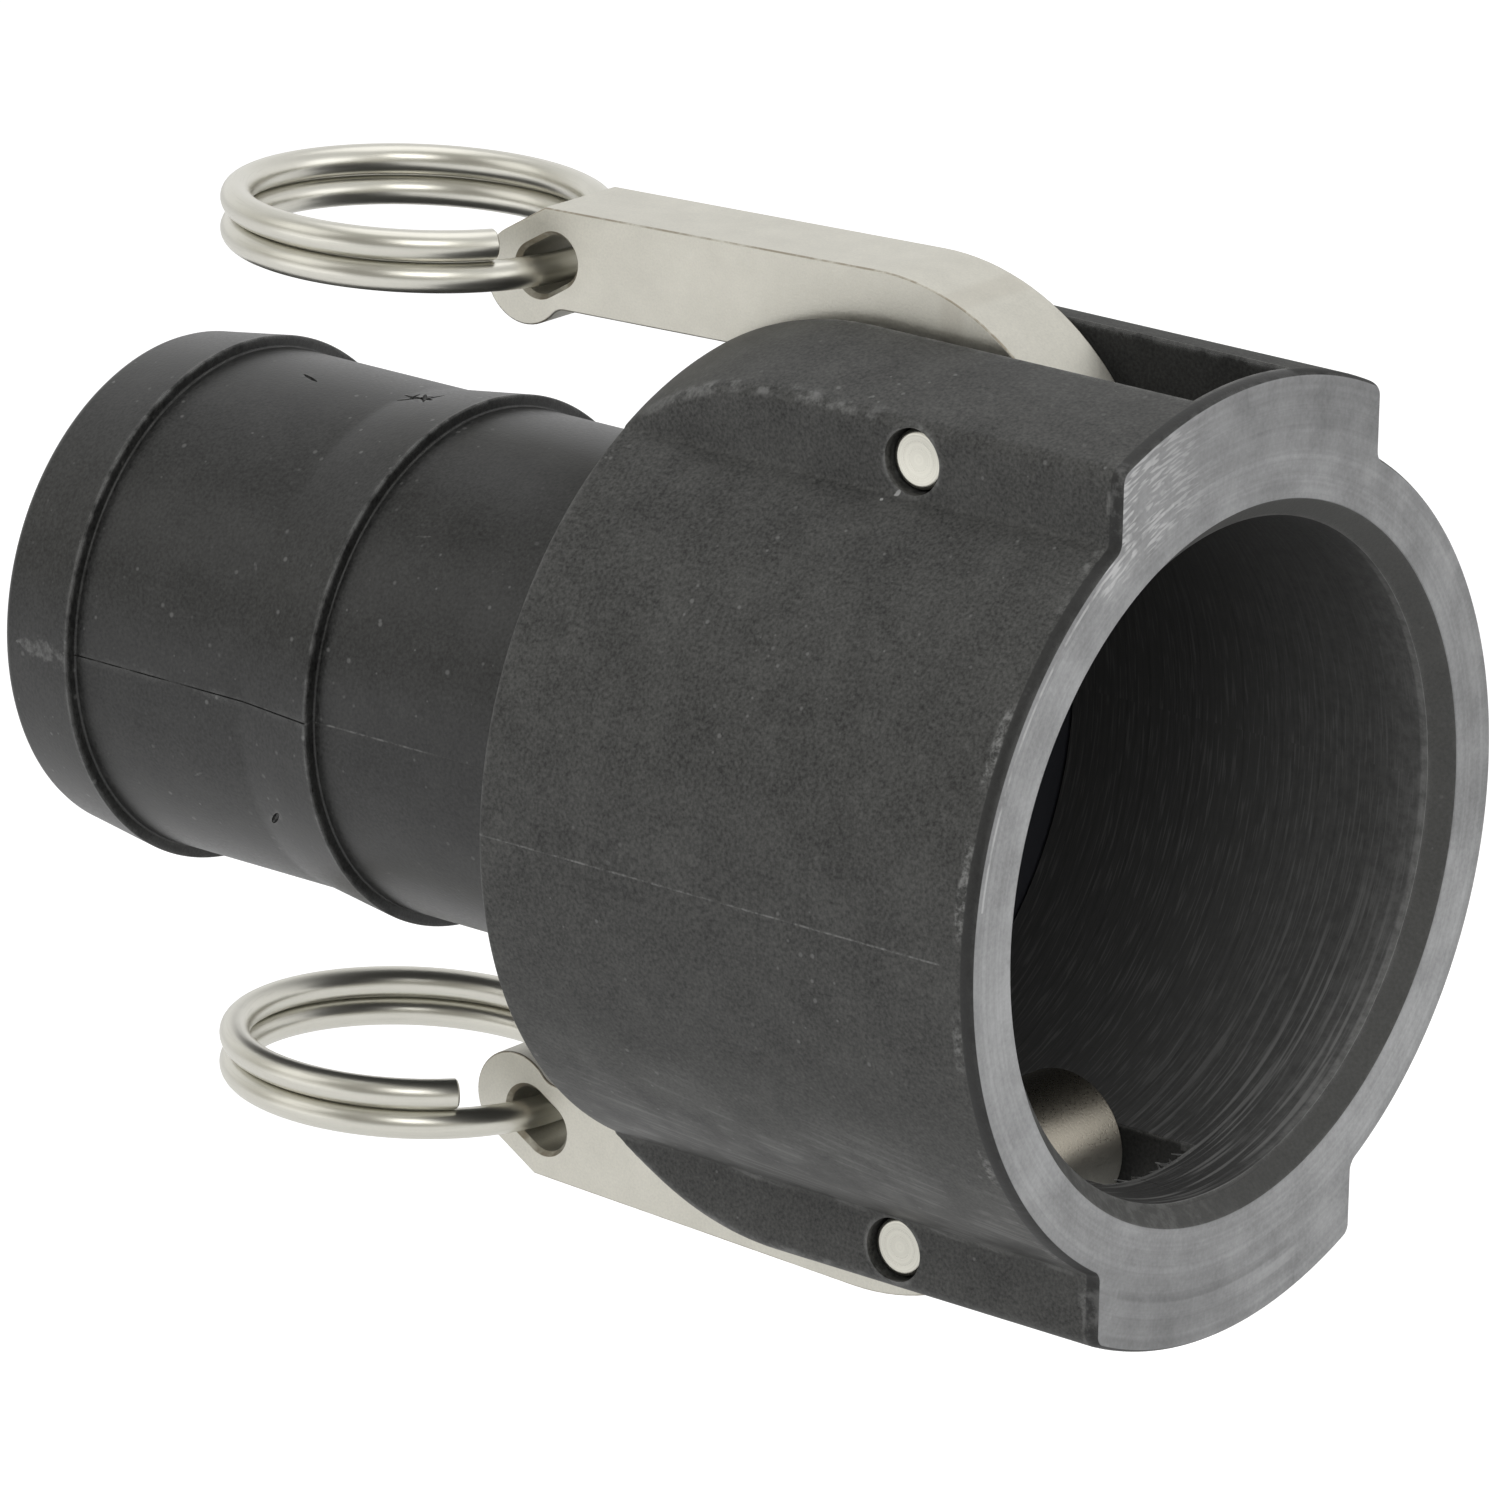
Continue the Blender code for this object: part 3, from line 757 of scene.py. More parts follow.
def tail_points(sizes):
    """Tail of the arm: a fillet, the round lobe and the slope up to the outer edge."""
    lobe = lobe_centre(sizes)
    slope = math.degrees(sizes.tail_slope)
    low = sizes.outer - sizes.bar_height - sizes.tail_fillet
    side = math.sqrt((sizes.lobe_radius + sizes.tail_fillet) ** 2 - (lobe[1] - low) ** 2)
    meet = math.degrees(math.atan2(lobe[1] - low, -side))
    slope_top = lobe[1] + sizes.lobe_radius * math.cos(sizes.tail_slope)
    slope_back = lobe[0] - sizes.lobe_radius * math.sin(sizes.tail_slope)
    corner_x = slope_back + (sizes.outer - slope_top) / math.tan(sizes.tail_slope)
    corner = (corner_x, sizes.outer)
    fillet = arc((lobe[0] + side, low), sizes.tail_fillet, 90, meet)
    return fillet[:-1] + arc(lobe, sizes.lobe_radius, meet - 180, slope - 270) + [corner]


def arm_outline(sizes):
    """Side view of the upper arm about its pin axis, tilted as it lies closed."""
    spread = math.degrees(sizes.cam_angle)
    head_centre = (-sizes.head_start, sizes.outer - sizes.head_radius)
    head = arc(head_centre, sizes.head_radius, 90, spread, 3.0)
    cam = arc(cam_centre(sizes), sizes.cam_radius, spread, math.degrees(sizes.cam_back))
    points = head + cam[1:] + neck_points(sizes) + tail_points(sizes)
    return [rotated(point, sizes.tilt) for point in points]


def ring_hole_outline(sizes, grow=0.0):
    """Side view of the slanted hole for the ring."""
    lobe = lobe_centre(sizes)
    low = (lobe[0] + sizes.hole_offset, lobe[1] + sizes.hole_rise)
    run = sizes.hole_length
    high = (low[0] + run * math.cos(sizes.tail_slope), low[1] + run * math.sin(sizes.tail_slope))
    lean = math.degrees(sizes.tail_slope)
    points = arc(low, sizes.hole_radius + grow, lean + 90, lean + 270)
    points += arc(high, sizes.hole_radius + grow, lean - 90, lean + 90)
    return [rotated(point, sizes.tilt) for point in points]


def ring_hole_rim(sizes, side):
    """A flare that opens the rim of the ring hole at one face of the arm."""
    rim = sizes.hole_edge
    inner = (sizes.half_width - rim) * side
    outer = (sizes.half_width + rim) * side
    rows = [[(x, inner, z) for x, z in ring_hole_outline(sizes)]]
    rows.append([(x, outer, z) for x, z in ring_hole_outline(sizes, 2 * rim)])
    return lofted("ring_hole_rim", rows)


def arm_mesh(side, sizes):
    """A cam arm with its two holes and rounded edges."""
    half = sizes.half_width
    deep = half + CUT_MARGIN
    mesh = prism("arm", arm_outline(sizes), -half, half)
    mesh = combined(mesh, rod("pin_hole", Vector((0, 0, 0)), sizes.pin_hole, deep), 'DIFFERENCE')
    mesh = rounded(mesh, sizes.edge, 50)
    mesh = combined(mesh, prism("ring_hole", ring_hole_outline(sizes), -deep, deep), 'DIFFERENCE')
    for face in (-1.0, 1.0):
        mesh = combined(mesh, ring_hole_rim(sizes, face), 'DIFFERENCE')
    turn = Matrix.Rotation(0.0 if side == "upper" else math.pi, 4, 'X')
    mesh.transform(Matrix.Translation(pin_axis(side)) @ turn)
    return mesh


# Pull rings


def ring_path(sizes, face_y, end_gap):
    """Centre line of the wire about its swing axis, from one free end round to the other.

    The wire makes two turns. Between them it passes through the hole in the arm, and behind the arm
    it steps from the lower coil to the upper one.
    """
    steps = 300
    half_length = sizes.radius * sizes.stretch
    bend_y = face_y + sizes.wire_radius / 2
    lean = math.tan(sizes.roll)
    first = math.asin((sizes.shift - face_y - end_gap) / sizes.radius)
    last = math.asin((sizes.shift + sizes.step_end) / sizes.radius)
    total = 4 * math.pi - (last - first)
    points = []
    for i in range(steps + 1):
        turn = first - total * i / steps
        past_hole = turn + 2 * math.pi
        x = half_length * (math.cos(turn) - 1) + sizes.seat
        y = sizes.radius * math.sin(turn) - sizes.shift
        level = math.copysign(1.0, past_hole)
        if abs(past_hole) < math.pi / 2:
            step = (y - sizes.step_start) / (sizes.step_end - sizes.step_start)
            level = 2 * smooth_step(step) - 1
            x += sizes.bend * math.exp(-((y - bend_y) / sizes.bend_spread) ** 2)
        z = sizes.lift + level * sizes.coil_pitch / 2 - lean * (y + sizes.shift)
        points.append(Vector((x, y, z)))
    return points


def wire_mesh(name, path, radius, end_edge, sides=28):
    """A round wire along a path, with chamfered flat ends and its length and girth as a UV map."""
    solid = bmesh.new()
    layer = solid.loops.layers.uv.new("wire")
    rows = []
    ahead = (path[1] - path[0]).normalized()
    across = ahead.orthogonal().normalized()
    run = 0.0
    runs = []
    count = len(path)
    for i, point in enumerate(path):
        before = path[max(0, i - 1)]
        after = path[min(count - 1, i + 1)]
        heading = (after - before).normalized()
        across = (across - heading * across.dot(heading)).normalized()
        up = heading.cross(across)
        if i:
            run += (point - before).length
        rings = [(point, radius)]
        if i == 0:
            rings = [(point - heading * end_edge, radius - end_edge), (point, radius)]
        if i == count - 1:
            rings = [(point, radius), (point + heading * end_edge, radius - end_edge)]
        for centre, reach in rings:
            row = []
            for j in range(sides):
                turn = 2 * math.pi * j / sides
                offset = across * math.cos(turn) + up * math.sin(turn)
                row.append(solid.verts.new(centre + offset * reach))
            rows.append(row)
            runs.append(run)
    for i in range(len(rows) - 1):
        for j in range(sides):
            k = (j + 1) % sides
            face = solid.faces.new((rows[i][j], rows[i][k], rows[i + 1][k], rows[i + 1][j]))
            girth = 2 * math.pi * radius / sides
            places = ((i, j), (i, j + 1), (i + 1, j + 1), (i + 1, j))
            for loop, (row, column) in zip(face.loops, places):
                loop[layer].uv = (runs[row], column * girth)
    solid.faces.new(list(reversed(rows[0])))
    solid.faces.new(rows[-1])
    return mesh_of(solid, name)


# Node helpers

# Places of the sockets for colours on a Mix node
MIX_FACTOR = 0
MIX_FIRST = 6
MIX_SECOND = 7
MIX_RESULT = 2

# Range of a noise over which a patchy mask sets in
ONSET = 0.12


class Signal:
    """A value, colour or vector in a node tree. A sum written on a value becomes a node."""

    def __init__(self, socket):
        self.socket = socket

    def __add__(self, other):
        return calc('ADD', self, other)

    def __sub__(self, other):
        return calc('SUBTRACT', self, other)

    def __rsub__(self, other):
        return calc('SUBTRACT', other, self)

    def __mul__(self, other):
        return calc('MULTIPLY', self, other)

    def __truediv__(self, other):
        return calc('DIVIDE', self, other)

    def __abs__(self):
        return calc('ABSOLUTE', self)


def tree_of(*values):
    """The node tree of the signals among some values."""
    return next(value.socket.id_data for value in values if isinstance(value, Signal))


def feed(socket, value):
    """Link a signal to an input, or set the input's own value."""
    if isinstance(value, Signal):
        socket.id_data.links.new(value.socket, socket)
    else:
        socket.default_value = value


def add(tree, kind, values=None, **settings):
    """A node with its settings, and values or signals on its inputs."""
    made = tree.nodes.new(kind)
    for name, value in settings.items():
        setattr(made, name, value)
    for name, value in (values or {}).items():
        feed(made.inputs[name], value)
    return made


def out(node, name=0):
    """An output of a node as a signal."""
    return Signal(node.outputs[name])


def calc(operation, first, second=0.0, third=0.0, clamp=False):
    """The result of a sum on up to three values."""
    values = {0: first, 1: second, 2: third}
    tree = tree_of(first, second, third)
    return out(add(tree, 'ShaderNodeMath', values, operation=operation, use_clamp=clamp))


def from_middle(first, second):
    """Distance of a point from the middle, out of its two offsets."""
    return calc('SQRT', first * first + second * second)


def parts_of(vector):
    """The X, Y and Z of a vector."""
    made = add(tree_of(vector), 'ShaderNodeSeparateXYZ', {0: vector})
    return [out(made, i) for i in range(3)]


def flat_place(along, across):
    """A place on a flat sheet."""
    return out(add(tree_of(along, across), 'ShaderNodeCombineXYZ', {0: along, 1: across}))


def toward(place, direction):
    """Distance of a place from the origin along one direction."""
    values = {0: place, 1: direction}
    made = add(tree_of(place, direction), 'ShaderNodeVectorMath', values, operation='DOT_PRODUCT')
    return out(made, "Value")


def spread(value, low, high, to_low=0.0, to_high=1.0):
    """A value carried smoothly from one range to another."""
    values = {"Value": value, "From Min": low, "From Max": high, "To Min": to_low, "To Max": to_high}
    tree = tree_of(value, low, high)
    return out(add(tree, 'ShaderNodeMapRange', values, interpolation_type='SMOOTHSTEP'))


def noise(vector, scale, detail=2.0, roughness=0.5):
    """A noise value around one half."""
    values = {"Vector": vector, "Scale": scale, "Detail": detail, "Roughness": roughness}
    return out(add(tree_of(vector), 'ShaderNodeTexNoise', values))


def patches(place, scale, detail, roughness, *limits):
    """A noise spread between limits, as a patchy mask."""
    return spread(noise(place, scale, detail, roughness), *limits)


def rgba(value):
    """A colour with full alpha."""
    return (*value, 1.0)


def grey(shade):
    """A shade as a grey colour."""
    return out(add(tree_of(shade), 'ShaderNodeCombineColor', {0: shade, 1: shade, 2: shade}))


def blend(factor, first, second, mode='MIX'):
    """Two colours mixed."""
    tree = tree_of(factor, first, second)
    values = {MIX_FACTOR: factor, MIX_FIRST: first, MIX_SECOND: second}
    return out(add(tree, 'ShaderNodeMix', values, data_type='RGBA', blend_type=mode), MIX_RESULT)


def shaded(base, shade):
    """A colour multiplied by a shade."""
    return blend(1.0, base, grey(shade), 'MULTIPLY')


def tinted(tone, colour_over, *layers):
    """A colour with another laid over it through masks, each with its strength."""
    for mask, share in layers:
        tone = blend(mask * share, tone, rgba(colour_over))
    return tone


# Shared effects


def new_group(name, inputs, *outputs):
    """An empty shader node group: its inputs as signals, and the sockets of its outputs.

    The inputs are values with their defaults, or vectors where there is no default.
    """
    tree = bpy.data.node_groups.new(name, 'ShaderNodeTree')
    for label, value in inputs.items():
        kind = 'NodeSocketVector' if value is None else 'NodeSocketFloat'
        socket = tree.interface.new_socket(label, in_out='INPUT', socket_type=kind)
        if value is not None:
            socket.default_value = value
    for label in outputs:
        tree.interface.new_socket(label, in_out='OUTPUT', socket_type='NodeSocketFloat')
    start = tree.nodes.new('NodeGroupInput')
    end = tree.nodes.new('NodeGroupOutput')
    return {label: out(start, label) for label in inputs}, end.inputs


def use(name, values):
    """The outputs of a shader node group that is placed in a material."""
    group = bpy.data.node_groups[name]
    made = add(tree_of(*values.values()), 'ShaderNodeGroup', values, node_tree=group)
    return {socket.name: Signal(socket) for socket in made.outputs}


def group_turned_place():
    """Place on a turned surface: along the flow axis, out from it, and round it from the near side."""
    start, end = new_group("Turned Place", {"Vector": None}, "Axial", "Radius", "Turn")
    axial, side, height = parts_of(start["Vector"])
    near = side * -1.0
    feed(end["Axial"], axial)
    feed(end["Radius"], from_middle(near, height))
    feed(end["Turn"], calc('ARCTAN2', height, near))


def group_soft_band():
    """A mask that is 1 between two values and falls off softly outside them."""
    inputs = {"Value": 0.0, "Low": 0.0, "High": 1.0, "Edge": 0.0001}
    start, end = new_group("Soft Band", inputs, "Mask")
    rise = spread(start["Value"], start["Low"] - start["Edge"], start["Low"])
    fall = spread(start["Value"], start["High"], start["High"] + start["Edge"], 1.0, 0.0)
    feed(end["Mask"], rise * fall)


def group_grain():
    """Mottling in patches and in fine grain, as a shade around 1 and as a height."""
    inputs = {"Vector": None, "Patch": 180.0, "Grain": 3200.0, "Patch Depth": 0.2, "Grain Depth": 0.3}
    start, end = new_group("Moulded Grain", inputs, "Shade", "Height")
    patch = noise(start["Vector"], start["Patch"], 4.0, 0.62) - 0.5
    fine = noise(start["Vector"], start["Grain"], 2.0, 0.6) - 0.5
    feed(end["Shade"], patch * start["Patch Depth"] + fine * start["Grain Depth"] + 1.0)
    feed(end["Height"], fine)


def group_specks():
    """Small scattered specks."""
    inputs = {"Vector": None, "Scale": 900.0, "Size": 0.16, "Share": 0.1}
    start, end = new_group("Specks", inputs, "Mask")
    place = start["Vector"]
    cells = add(tree_of(place), 'ShaderNodeTexVoronoi', {"Vector": place, "Scale": start["Scale"]})
    pick = out(add(tree_of(place), 'ShaderNodeSeparateColor', {0: out(cells, "Color")}))
    chosen = calc('LESS_THAN', pick, start["Share"])
    size = start["Size"] * (pick * 4.0 + 0.6)
    dot = spread(out(cells, "Distance"), size * 0.4, size, 1.0, 0.0)
    feed(end["Mask"], dot * chosen)


def group_hairlines():
    """Fine scratches that run along one direction of a stretched surface place."""
    inputs = {"Along": 0.0, "Across": 0.0, "Length": 0.006, "Width": 0.0001, "Share": 0.3}
    start, end = new_group("Hairlines", inputs, "Mask")
    place = flat_place(start["Along"] / start["Length"], start["Across"] / start["Width"])
    level = 1.0 - start["Share"]
    feed(end["Mask"], spread(noise(place, 1.0, 1.0), level, level + ONSET))


def group_turning_marks():
    """Fine tool marks at a pitch along a coordinate, as a shade around 1 and as a height."""
    inputs = {"Vector": None, "Coordinate": 0.0, "Pitch": 0.0003, "Wander": 0.1, "Depth": 0.3}
    start, end = new_group("Turning Marks", inputs, "Shade", "Height")
    drift = noise(start["Vector"], 60.0) * start["Wander"]
    count = start["Coordinate"] / start["Pitch"] + drift
    values = {"W": count, "Scale": 1.0, "Detail": 3.0, "Roughness": 0.7}
    swing = out(add(tree_of(count), 'ShaderNodeTexNoise', values, noise_dimensions='1D')) - 0.5
    feed(end["Shade"], swing * start["Depth"] + 1.0)
    feed(end["Height"], swing)


def group_worn_edge():
    """A patchy mask for worn outer edges, which leaves the sheltered corners out."""
    inputs = {"Vector": None, "Reach": 0.0004, "Patch": 500.0, "Share": 0.5}
    start, end = new_group("Worn Edge", inputs, "Edge")
    tree = tree_of(start["Vector"])
    soft = out(add(tree, 'ShaderNodeBevel', {"Radius": start["Reach"]}, samples=4))
    true = out(add(tree, 'ShaderNodeNewGeometry'), "Normal")
    bent = spread(toward(soft, true), 0.80, 0.985, 1.0, 0.0)
    shelter = add(tree, 'ShaderNodeAmbientOcclusion', {"Distance": 0.0012}, samples=4, only_local=True)
    open_part = spread(out(shelter, "AO"), 0.80, 0.97)
    level = 1.0 - start["Share"]
    broken = noise(start["Vector"], start["Patch"], 4.0, 0.7)
    patchy = spread(broken, level - ONSET, level + ONSET)
    feed(end["Edge"], bent * open_part * patchy)


def group_nick():
    """A short scratch at one place of a turned surface."""
    inputs = {
        "Axial": 0.0, "Turn": 0.0, "Radius": 0.0, "At Axial": 0.0, "At Turn": 0.0, "Heading": 0.0,
        "Half Length": 0.001, "Half Width": 0.0001,
    }
    start, end = new_group("Nick", inputs, "Mask")
    off_x = start["Axial"] - start["At Axial"]
    off_y = (start["Turn"] - start["At Turn"]) * start["Radius"]
    cosine = calc('COSINE', start["Heading"])
    sine = calc('SINE', start["Heading"])
    along = off_x * cosine + off_y * sine
    across = off_y * cosine - off_x * sine
    wander = (noise(flat_place(along, across), 2500.0) - 0.5) * start["Half Width"]
    share = abs(along) / start["Half Length"]
    reach = start["Half Width"] * calc('SUBTRACT', 1.0, share * share, clamp=True)
    feed(end["Mask"], spread(abs(across + wander), reach * 0.5, reach, 1.0, 0.0))


def build_groups():
    """Build the shared effects once."""
    if "Turned Place" in bpy.data.node_groups:
        return
    group_turned_place()
    group_soft_band()
    group_grain()
    group_specks()
    group_hairlines()
    group_turning_marks()
    group_worn_edge()
    group_nick()


def band(value, low, high, edge):
    """A soft band mask on a value."""
    return use("Soft Band", {"Value": value, "Low": low, "High": high, "Edge": edge})["Mask"]


def grained(place, patch, grain, patch_depth, grain_depth):
    """Shade and height of a mottled surface."""
    return use("Moulded Grain", {
        "Vector": place, "Patch": patch, "Grain": grain,
        "Patch Depth": patch_depth, "Grain Depth": grain_depth,
    })


def specks(place, scale, size, share):
    """A mask of scattered specks."""
    return use("Specks", {"Vector": place, "Scale": scale, "Size": size, "Share": share})["Mask"]


def hairlines(along, across, run, width, share):
    """A mask of fine scratches of about one length and width."""
    values = {"Along": along, "Across": across, "Length": run, "Width": width, "Share": share}
    return use("Hairlines", values)["Mask"]


def tool_marks(place, coordinate, pitch, wander, depth):
    """Shade and height of the marks of a turning tool."""
    return use("Turning Marks", {
        "Vector": place, "Coordinate": coordinate, "Pitch": pitch, "Wander": wander, "Depth": depth,
    })


def nick_mask(turned, places):
    """Several nicks joined into one mask."""
    total = None
    for axial, turn, heading, half_length, half_width in places:
        mask = use("Nick", {
            **turned, "At Axial": axial, "At Turn": math.radians(turn), "Heading": math.radians(heading),
            "Half Length": half_length, "Half Width": half_width,
        })["Mask"]
        total = calc('MAXIMUM', total, mask) if total else mask
    return total


# Finishes


def new_finish(name):
    """A material, the inputs of its Principled shader and the place on the piece."""
    build_groups()
    made = bpy.data.materials.new(name)
    made.use_nodes = True
    tree = made.node_tree
    return made, tree.nodes["Principled BSDF"].inputs, out(add(tree, 'ShaderNodeTexCoord'), "Object")


def bumped(shader, height, distance, strength):
    """Feed a height to the shader's normal."""
    values = {"Height": height, "Distance": distance, "Strength": strength}
    feed(shader["Normal"], out(add(tree_of(height), 'ShaderNodeBump', values)))


def sideways(place):
    """Share of a surface's own direction that points along the pins."""
    normal = out(add(tree_of(place), 'ShaderNodeTexCoord'), "Normal")
    return abs(parts_of(normal)[1])


def turn_band(turned, low, high, edge):
    """A mask for a stretch of a turned surface between two angles in degrees."""
    return band(turned["Turn"], math.radians(low), math.radians(high), edge)


def arc_band(turned, low_turn, high_turn, low_radius, high_radius, soft):
    """A mask for a stretch of a ring, between two angles in degrees and two radii."""
    across = turn_band(turned, low_turn, high_turn, soft / high_radius)
    return across * band(turned["Radius"], low_radius, high_radius, soft)


def body_masks(place, turned, sizes):
    """Masks of the regions of the body: mouth face, entry chamfer, rim, bore, slots and shank."""
    axial = turned["Axial"]
    radius = turned["Radius"]
    side = parts_of(place)[1]
    across = abs(side)
    fine = 0.00005
    face_depth = 0.00006
    bore = sizes.bore_radius
    window = -sizes.window_front
    back = -sizes.bell_length
    inside = band(radius, 0.0, bore + 0.0001, fine)
    socket = inside * band(axial, SEAL_LOW.x, -sizes.mouth_chamfer, fine)
    flow = band(radius, 0.0, sizes.flow_radius + 0.0003, fine)
    entry = band(radius, 0.0, bore + sizes.mouth_chamfer, fine)
    outer = band(radius, sizes.bell_radius - sizes.rim_round - 0.0001, 1.0, fine)
    raised = band(radius, sizes.bell_radius + 0.0014, 1.0, 0.0006)
    tail = band(axial, -1.0, back - 0.0002, 0.0002)
    slot = band(across, 0.0, sizes.slot_half_width + 0.00008, fine)
    walls = band(radius, bore + 0.0004, 1.0, 0.0002)
    rough_lip = band(radius, bore - 0.0009, bore + 0.0008, 0.0001)
    boss_side = raised * band(across, sizes.boss_half_width - 0.0012, 1.0, 0.0006)
    turn_over = band(sideways(place), 0.45, 0.86, 0.12)
    rim_edge = outer * band(axial, -0.0021, -0.0014, 0.0004)
    whiskers = band(axial, window - sizes.whisker_length, window - 0.0001, fine)
    return {
        "face": band(axial, -face_depth, 1.0, fine),
        "chamfer": entry * band(axial, -sizes.mouth_chamfer, -0.00008, fine),
        "rim": outer * band(axial, -sizes.rim_length, -face_depth, 0.0002),
        "rim edge": rim_edge * turn_band(turned, -60.0, 50.0, 0.3),
        "ear front": boss_side * band(axial, -0.0015, -0.0001, 0.0003),
        "ear edge": boss_side * turn_over * band(axial, -0.0490, -0.0330, 0.0100),
        "far ear": raised * band(side, sizes.slot_half_width, 1.0, 0.001),
        "burr": slot * rough_lip * whiskers,
        "bore": calc('MAXIMUM', socket, flow),
        "slot": slot * walls * band(axial, back + sizes.back_round, -sizes.slot_front, fine),
        "shank": tail * (1.0 - flow),
    }


def seam_tone(place, turned, masks, tone, finish, sizes):
    """The parting line in dashes: pale on the bell, dark between the barbs as painted shade in its
    groove, gone on the shank's root.
    """
    axial = turned["Axial"]
    barb = -sizes.inner_barb
    step = 0.0004
    line = band(abs(parts_of(place)[2]), 0.0, sizes.seam_width * 0.3, sizes.seam_width * 0.9)
    skin = band(axial, -sizes.outer_barb, -sizes.seam_start, 0.0003)
    dashes = patches(place, 520.0, 5.0, 0.85, 0.42, 0.62)
    # Between the barbs the line is dark: painted shade in the sunk parting groove
    dark = masks["shank"] * spread(axial, barb - step, barb + step, 1.0, 0.0)
    gone = masks["shank"] * spread(axial, -0.080, -0.072)
    share = spread(dark, 0.0, 1.0, 0.36, 0.9) * (1.0 - gone)
    shade = blend(dark, rgba(finish.scuff_and_painted_light), rgba(finish.crevice))
    return blend(line * (1.0 - masks["bore"]) * skin * dashes * share, tone, shade)


# Directions out from the flow axis, where +Y is the far side
LOW = (0.0, 0.25, -0.97)
FAR = (0.0, 0.98, -0.2)
LOW_FAR = (0.0, 0.75, -0.66)

# Radius outside which the mouth face is a little darker
FACE_STEP = 0.0381

# Shallow turned grooves low on the mouth face: radii with their strength, half width, and end angles
FACE_GROOVES = ((0.0404, 0.18), (0.0427, 0.12), (0.0446, 0.10))
GROOVE_HALF = 0.0003
GROOVE_TURNS = (-104.0, -66.0)

# Worn stretches of the mouth face: two angles in degrees, two radii and the softness of the edges
FACE_WEAR = {
    "beside boss": (56.0, 86.0, 0.0376, 0.0448, 0.0022),
    "smear": (-111.0, -97.0, 0.0415, 0.0422, 0.0004),
    "ridge": (8.0, 72.0, 0.03858, 0.03872, 0.00014),
    "brim": (62.0, 88.0, 0.0484, 0.0500, 0.0003),
    "haze": (118.0, 172.0, 0.0372, 0.0394, 0.0012),
}


def face_tone(place, turned, finish):
    """Turned mouth face: fine rings, lighter on the near side, with a painted highlight low on the far
    side and scuffs beside the bosses.
    """
    radius = turned["Radius"]
    turn = turned["Turn"]
    marks = tool_marks(place, radius, 0.0009, 0.5, 0.36)
    clouds = grained(place, 150.0, 2300.0, 1.1, 0.45)
    tone = shaded(rgba(finish.face), marks["Shade"] * clouds["Shade"])
    near = spread(abs(turn), 0.3, 1.5, 1.27, 1.0)
    # Painted highlight: the face is made lighter low on the far side
    low_far = spread(toward(place, LOW_FAR), 0.022, 0.036, 1.0, 1.3)
    tone = shaded(tone, near * low_far)
    tone = tinted(tone, finish.crevice, (band(radius, FACE_STEP, 1.0, 0.00012), 0.10))
    for at, share in FACE_GROOVES:
        groove = arc_band(turned, *GROOVE_TURNS, at - GROOVE_HALF, at + GROOVE_HALF, GROOVE_HALF)
        tone = tinted(tone, finish.crevice, (groove, share))
    wear = {name: arc_band(turned, *stretch) for name, stretch in FACE_WEAR.items()}
    lines = hairlines(turn * radius, radius, 0.0021, 0.00036, 0.52)
    patchy = patches(place, 330.0, 3.0, 0.6, 0.34, 0.54)
    broken = patches(place, 260.0, 3.0, 0.7, 0.36, 0.56)
    fading = spread(turn, math.radians(60.0), math.radians(86.0), 1.0, 0.0)
    beside_boss = fading * wear["beside boss"]
    tone = tinted(
        tone, finish.whitened,
        (beside_boss, 0.16),
        (lines * patchy * beside_boss, 0.9),
        (patches(place, 130.0, 2.0, 0.5, 0.3, 0.62) * wear["smear"], 0.34),
        (broken * wear["ridge"], 0.7),
        (broken * wear["brim"], 0.45),
        (patches(place, 210.0, 4.0, 0.6, 0.42, 0.7) * wear["haze"], 0.22),
    )
    return tone, marks["Height"]


def bore_tone(place, turned, finish, sizes):
    """Turned bore: fine tool streaks, with painted light on its lit lower and far sides: pale ridges low
    down near the mouth, and a pale entry, lip and deeper stretch on the far side.
    """
    axial = turned["Axial"]
    mouth = -sizes.mouth_chamfer
    marks = tool_marks(place, axial, 0.0005, 2.0, 0.9)
    tone = shaded(rgba(finish.bore), marks["Shade"])
    girth = turned["Turn"] * turned["Radius"]
    streaks = hairlines(girth, axial, 0.0045, 0.00024, 0.45)
    ridges = hairlines(girth, axial, 0.020, 0.0006, 0.47)
    low_far = spread(toward(place, LOW_FAR), 0.002, 0.030)
    low = spread(toward(place, LOW), 0.012, 0.030)
    far = spread(toward(place, FAR), 0.006, 0.026)
    painted_light_fuzz = patches(place, 900.0, 4.0, 0.7, 0.3, 0.7, 0.4, 1.0)
    front = spread(axial, -0.024, -0.004)
    entry = spread(axial, -0.0085, mouth)
    deep = spread(axial, -0.032, -0.006)
    lip = band(axial, mouth - 0.0006, mouth, 0.0003)
    # The tool streaks all round are real. Low on the far side the streaks are stronger, and the pale
    # ridges low down near the mouth are real ridges with painted highlight on them. The pale fuzz at the
    # entry, the lip and deeper in on the far side is painted light.
    tone = tinted(
        tone, finish.scuff_and_painted_light,
        (streaks, 0.035),
        (streaks * low_far, 0.10),
        (ridges * low * front, 0.42),
        (entry * far * painted_light_fuzz, 0.22),
        (lip * far * painted_light_fuzz, 0.5),
        (deep * far * painted_light_fuzz, 0.12),
    )
    return tone, marks["Height"]


# Pale rubbed spots on the shank, given as the gouges are
RUBS = (
    (-0.1244, -0.3, 0.0, 0.0038, 0.0012),
    (-0.1216, -1.6, 40.0, 0.0012, 0.0007),
    (-0.1010, 42.0, 70.0, 0.0012, 0.00022),
    (-0.1003, 30.0, -60.0, 0.0008, 0.00018),
    (-0.1062, -22.0, 30.0, 0.0008, 0.00016),
    (-0.0830, 46.0, 15.0, 0.0009, 0.00014),
    (-0.0795, 38.0, -35.0, 0.0006, 0.00014),
    (-0.0850, -38.0, 25.0, 0.0007, 0.00014),
)

# Pale chips beside the near end of the upper pin hole
CHIPS = (
    (-0.0250, 60.3, 35.0, 0.0004, 0.00022),
    (-0.0262, 58.9, -30.0, 0.0002, 0.0002),
)


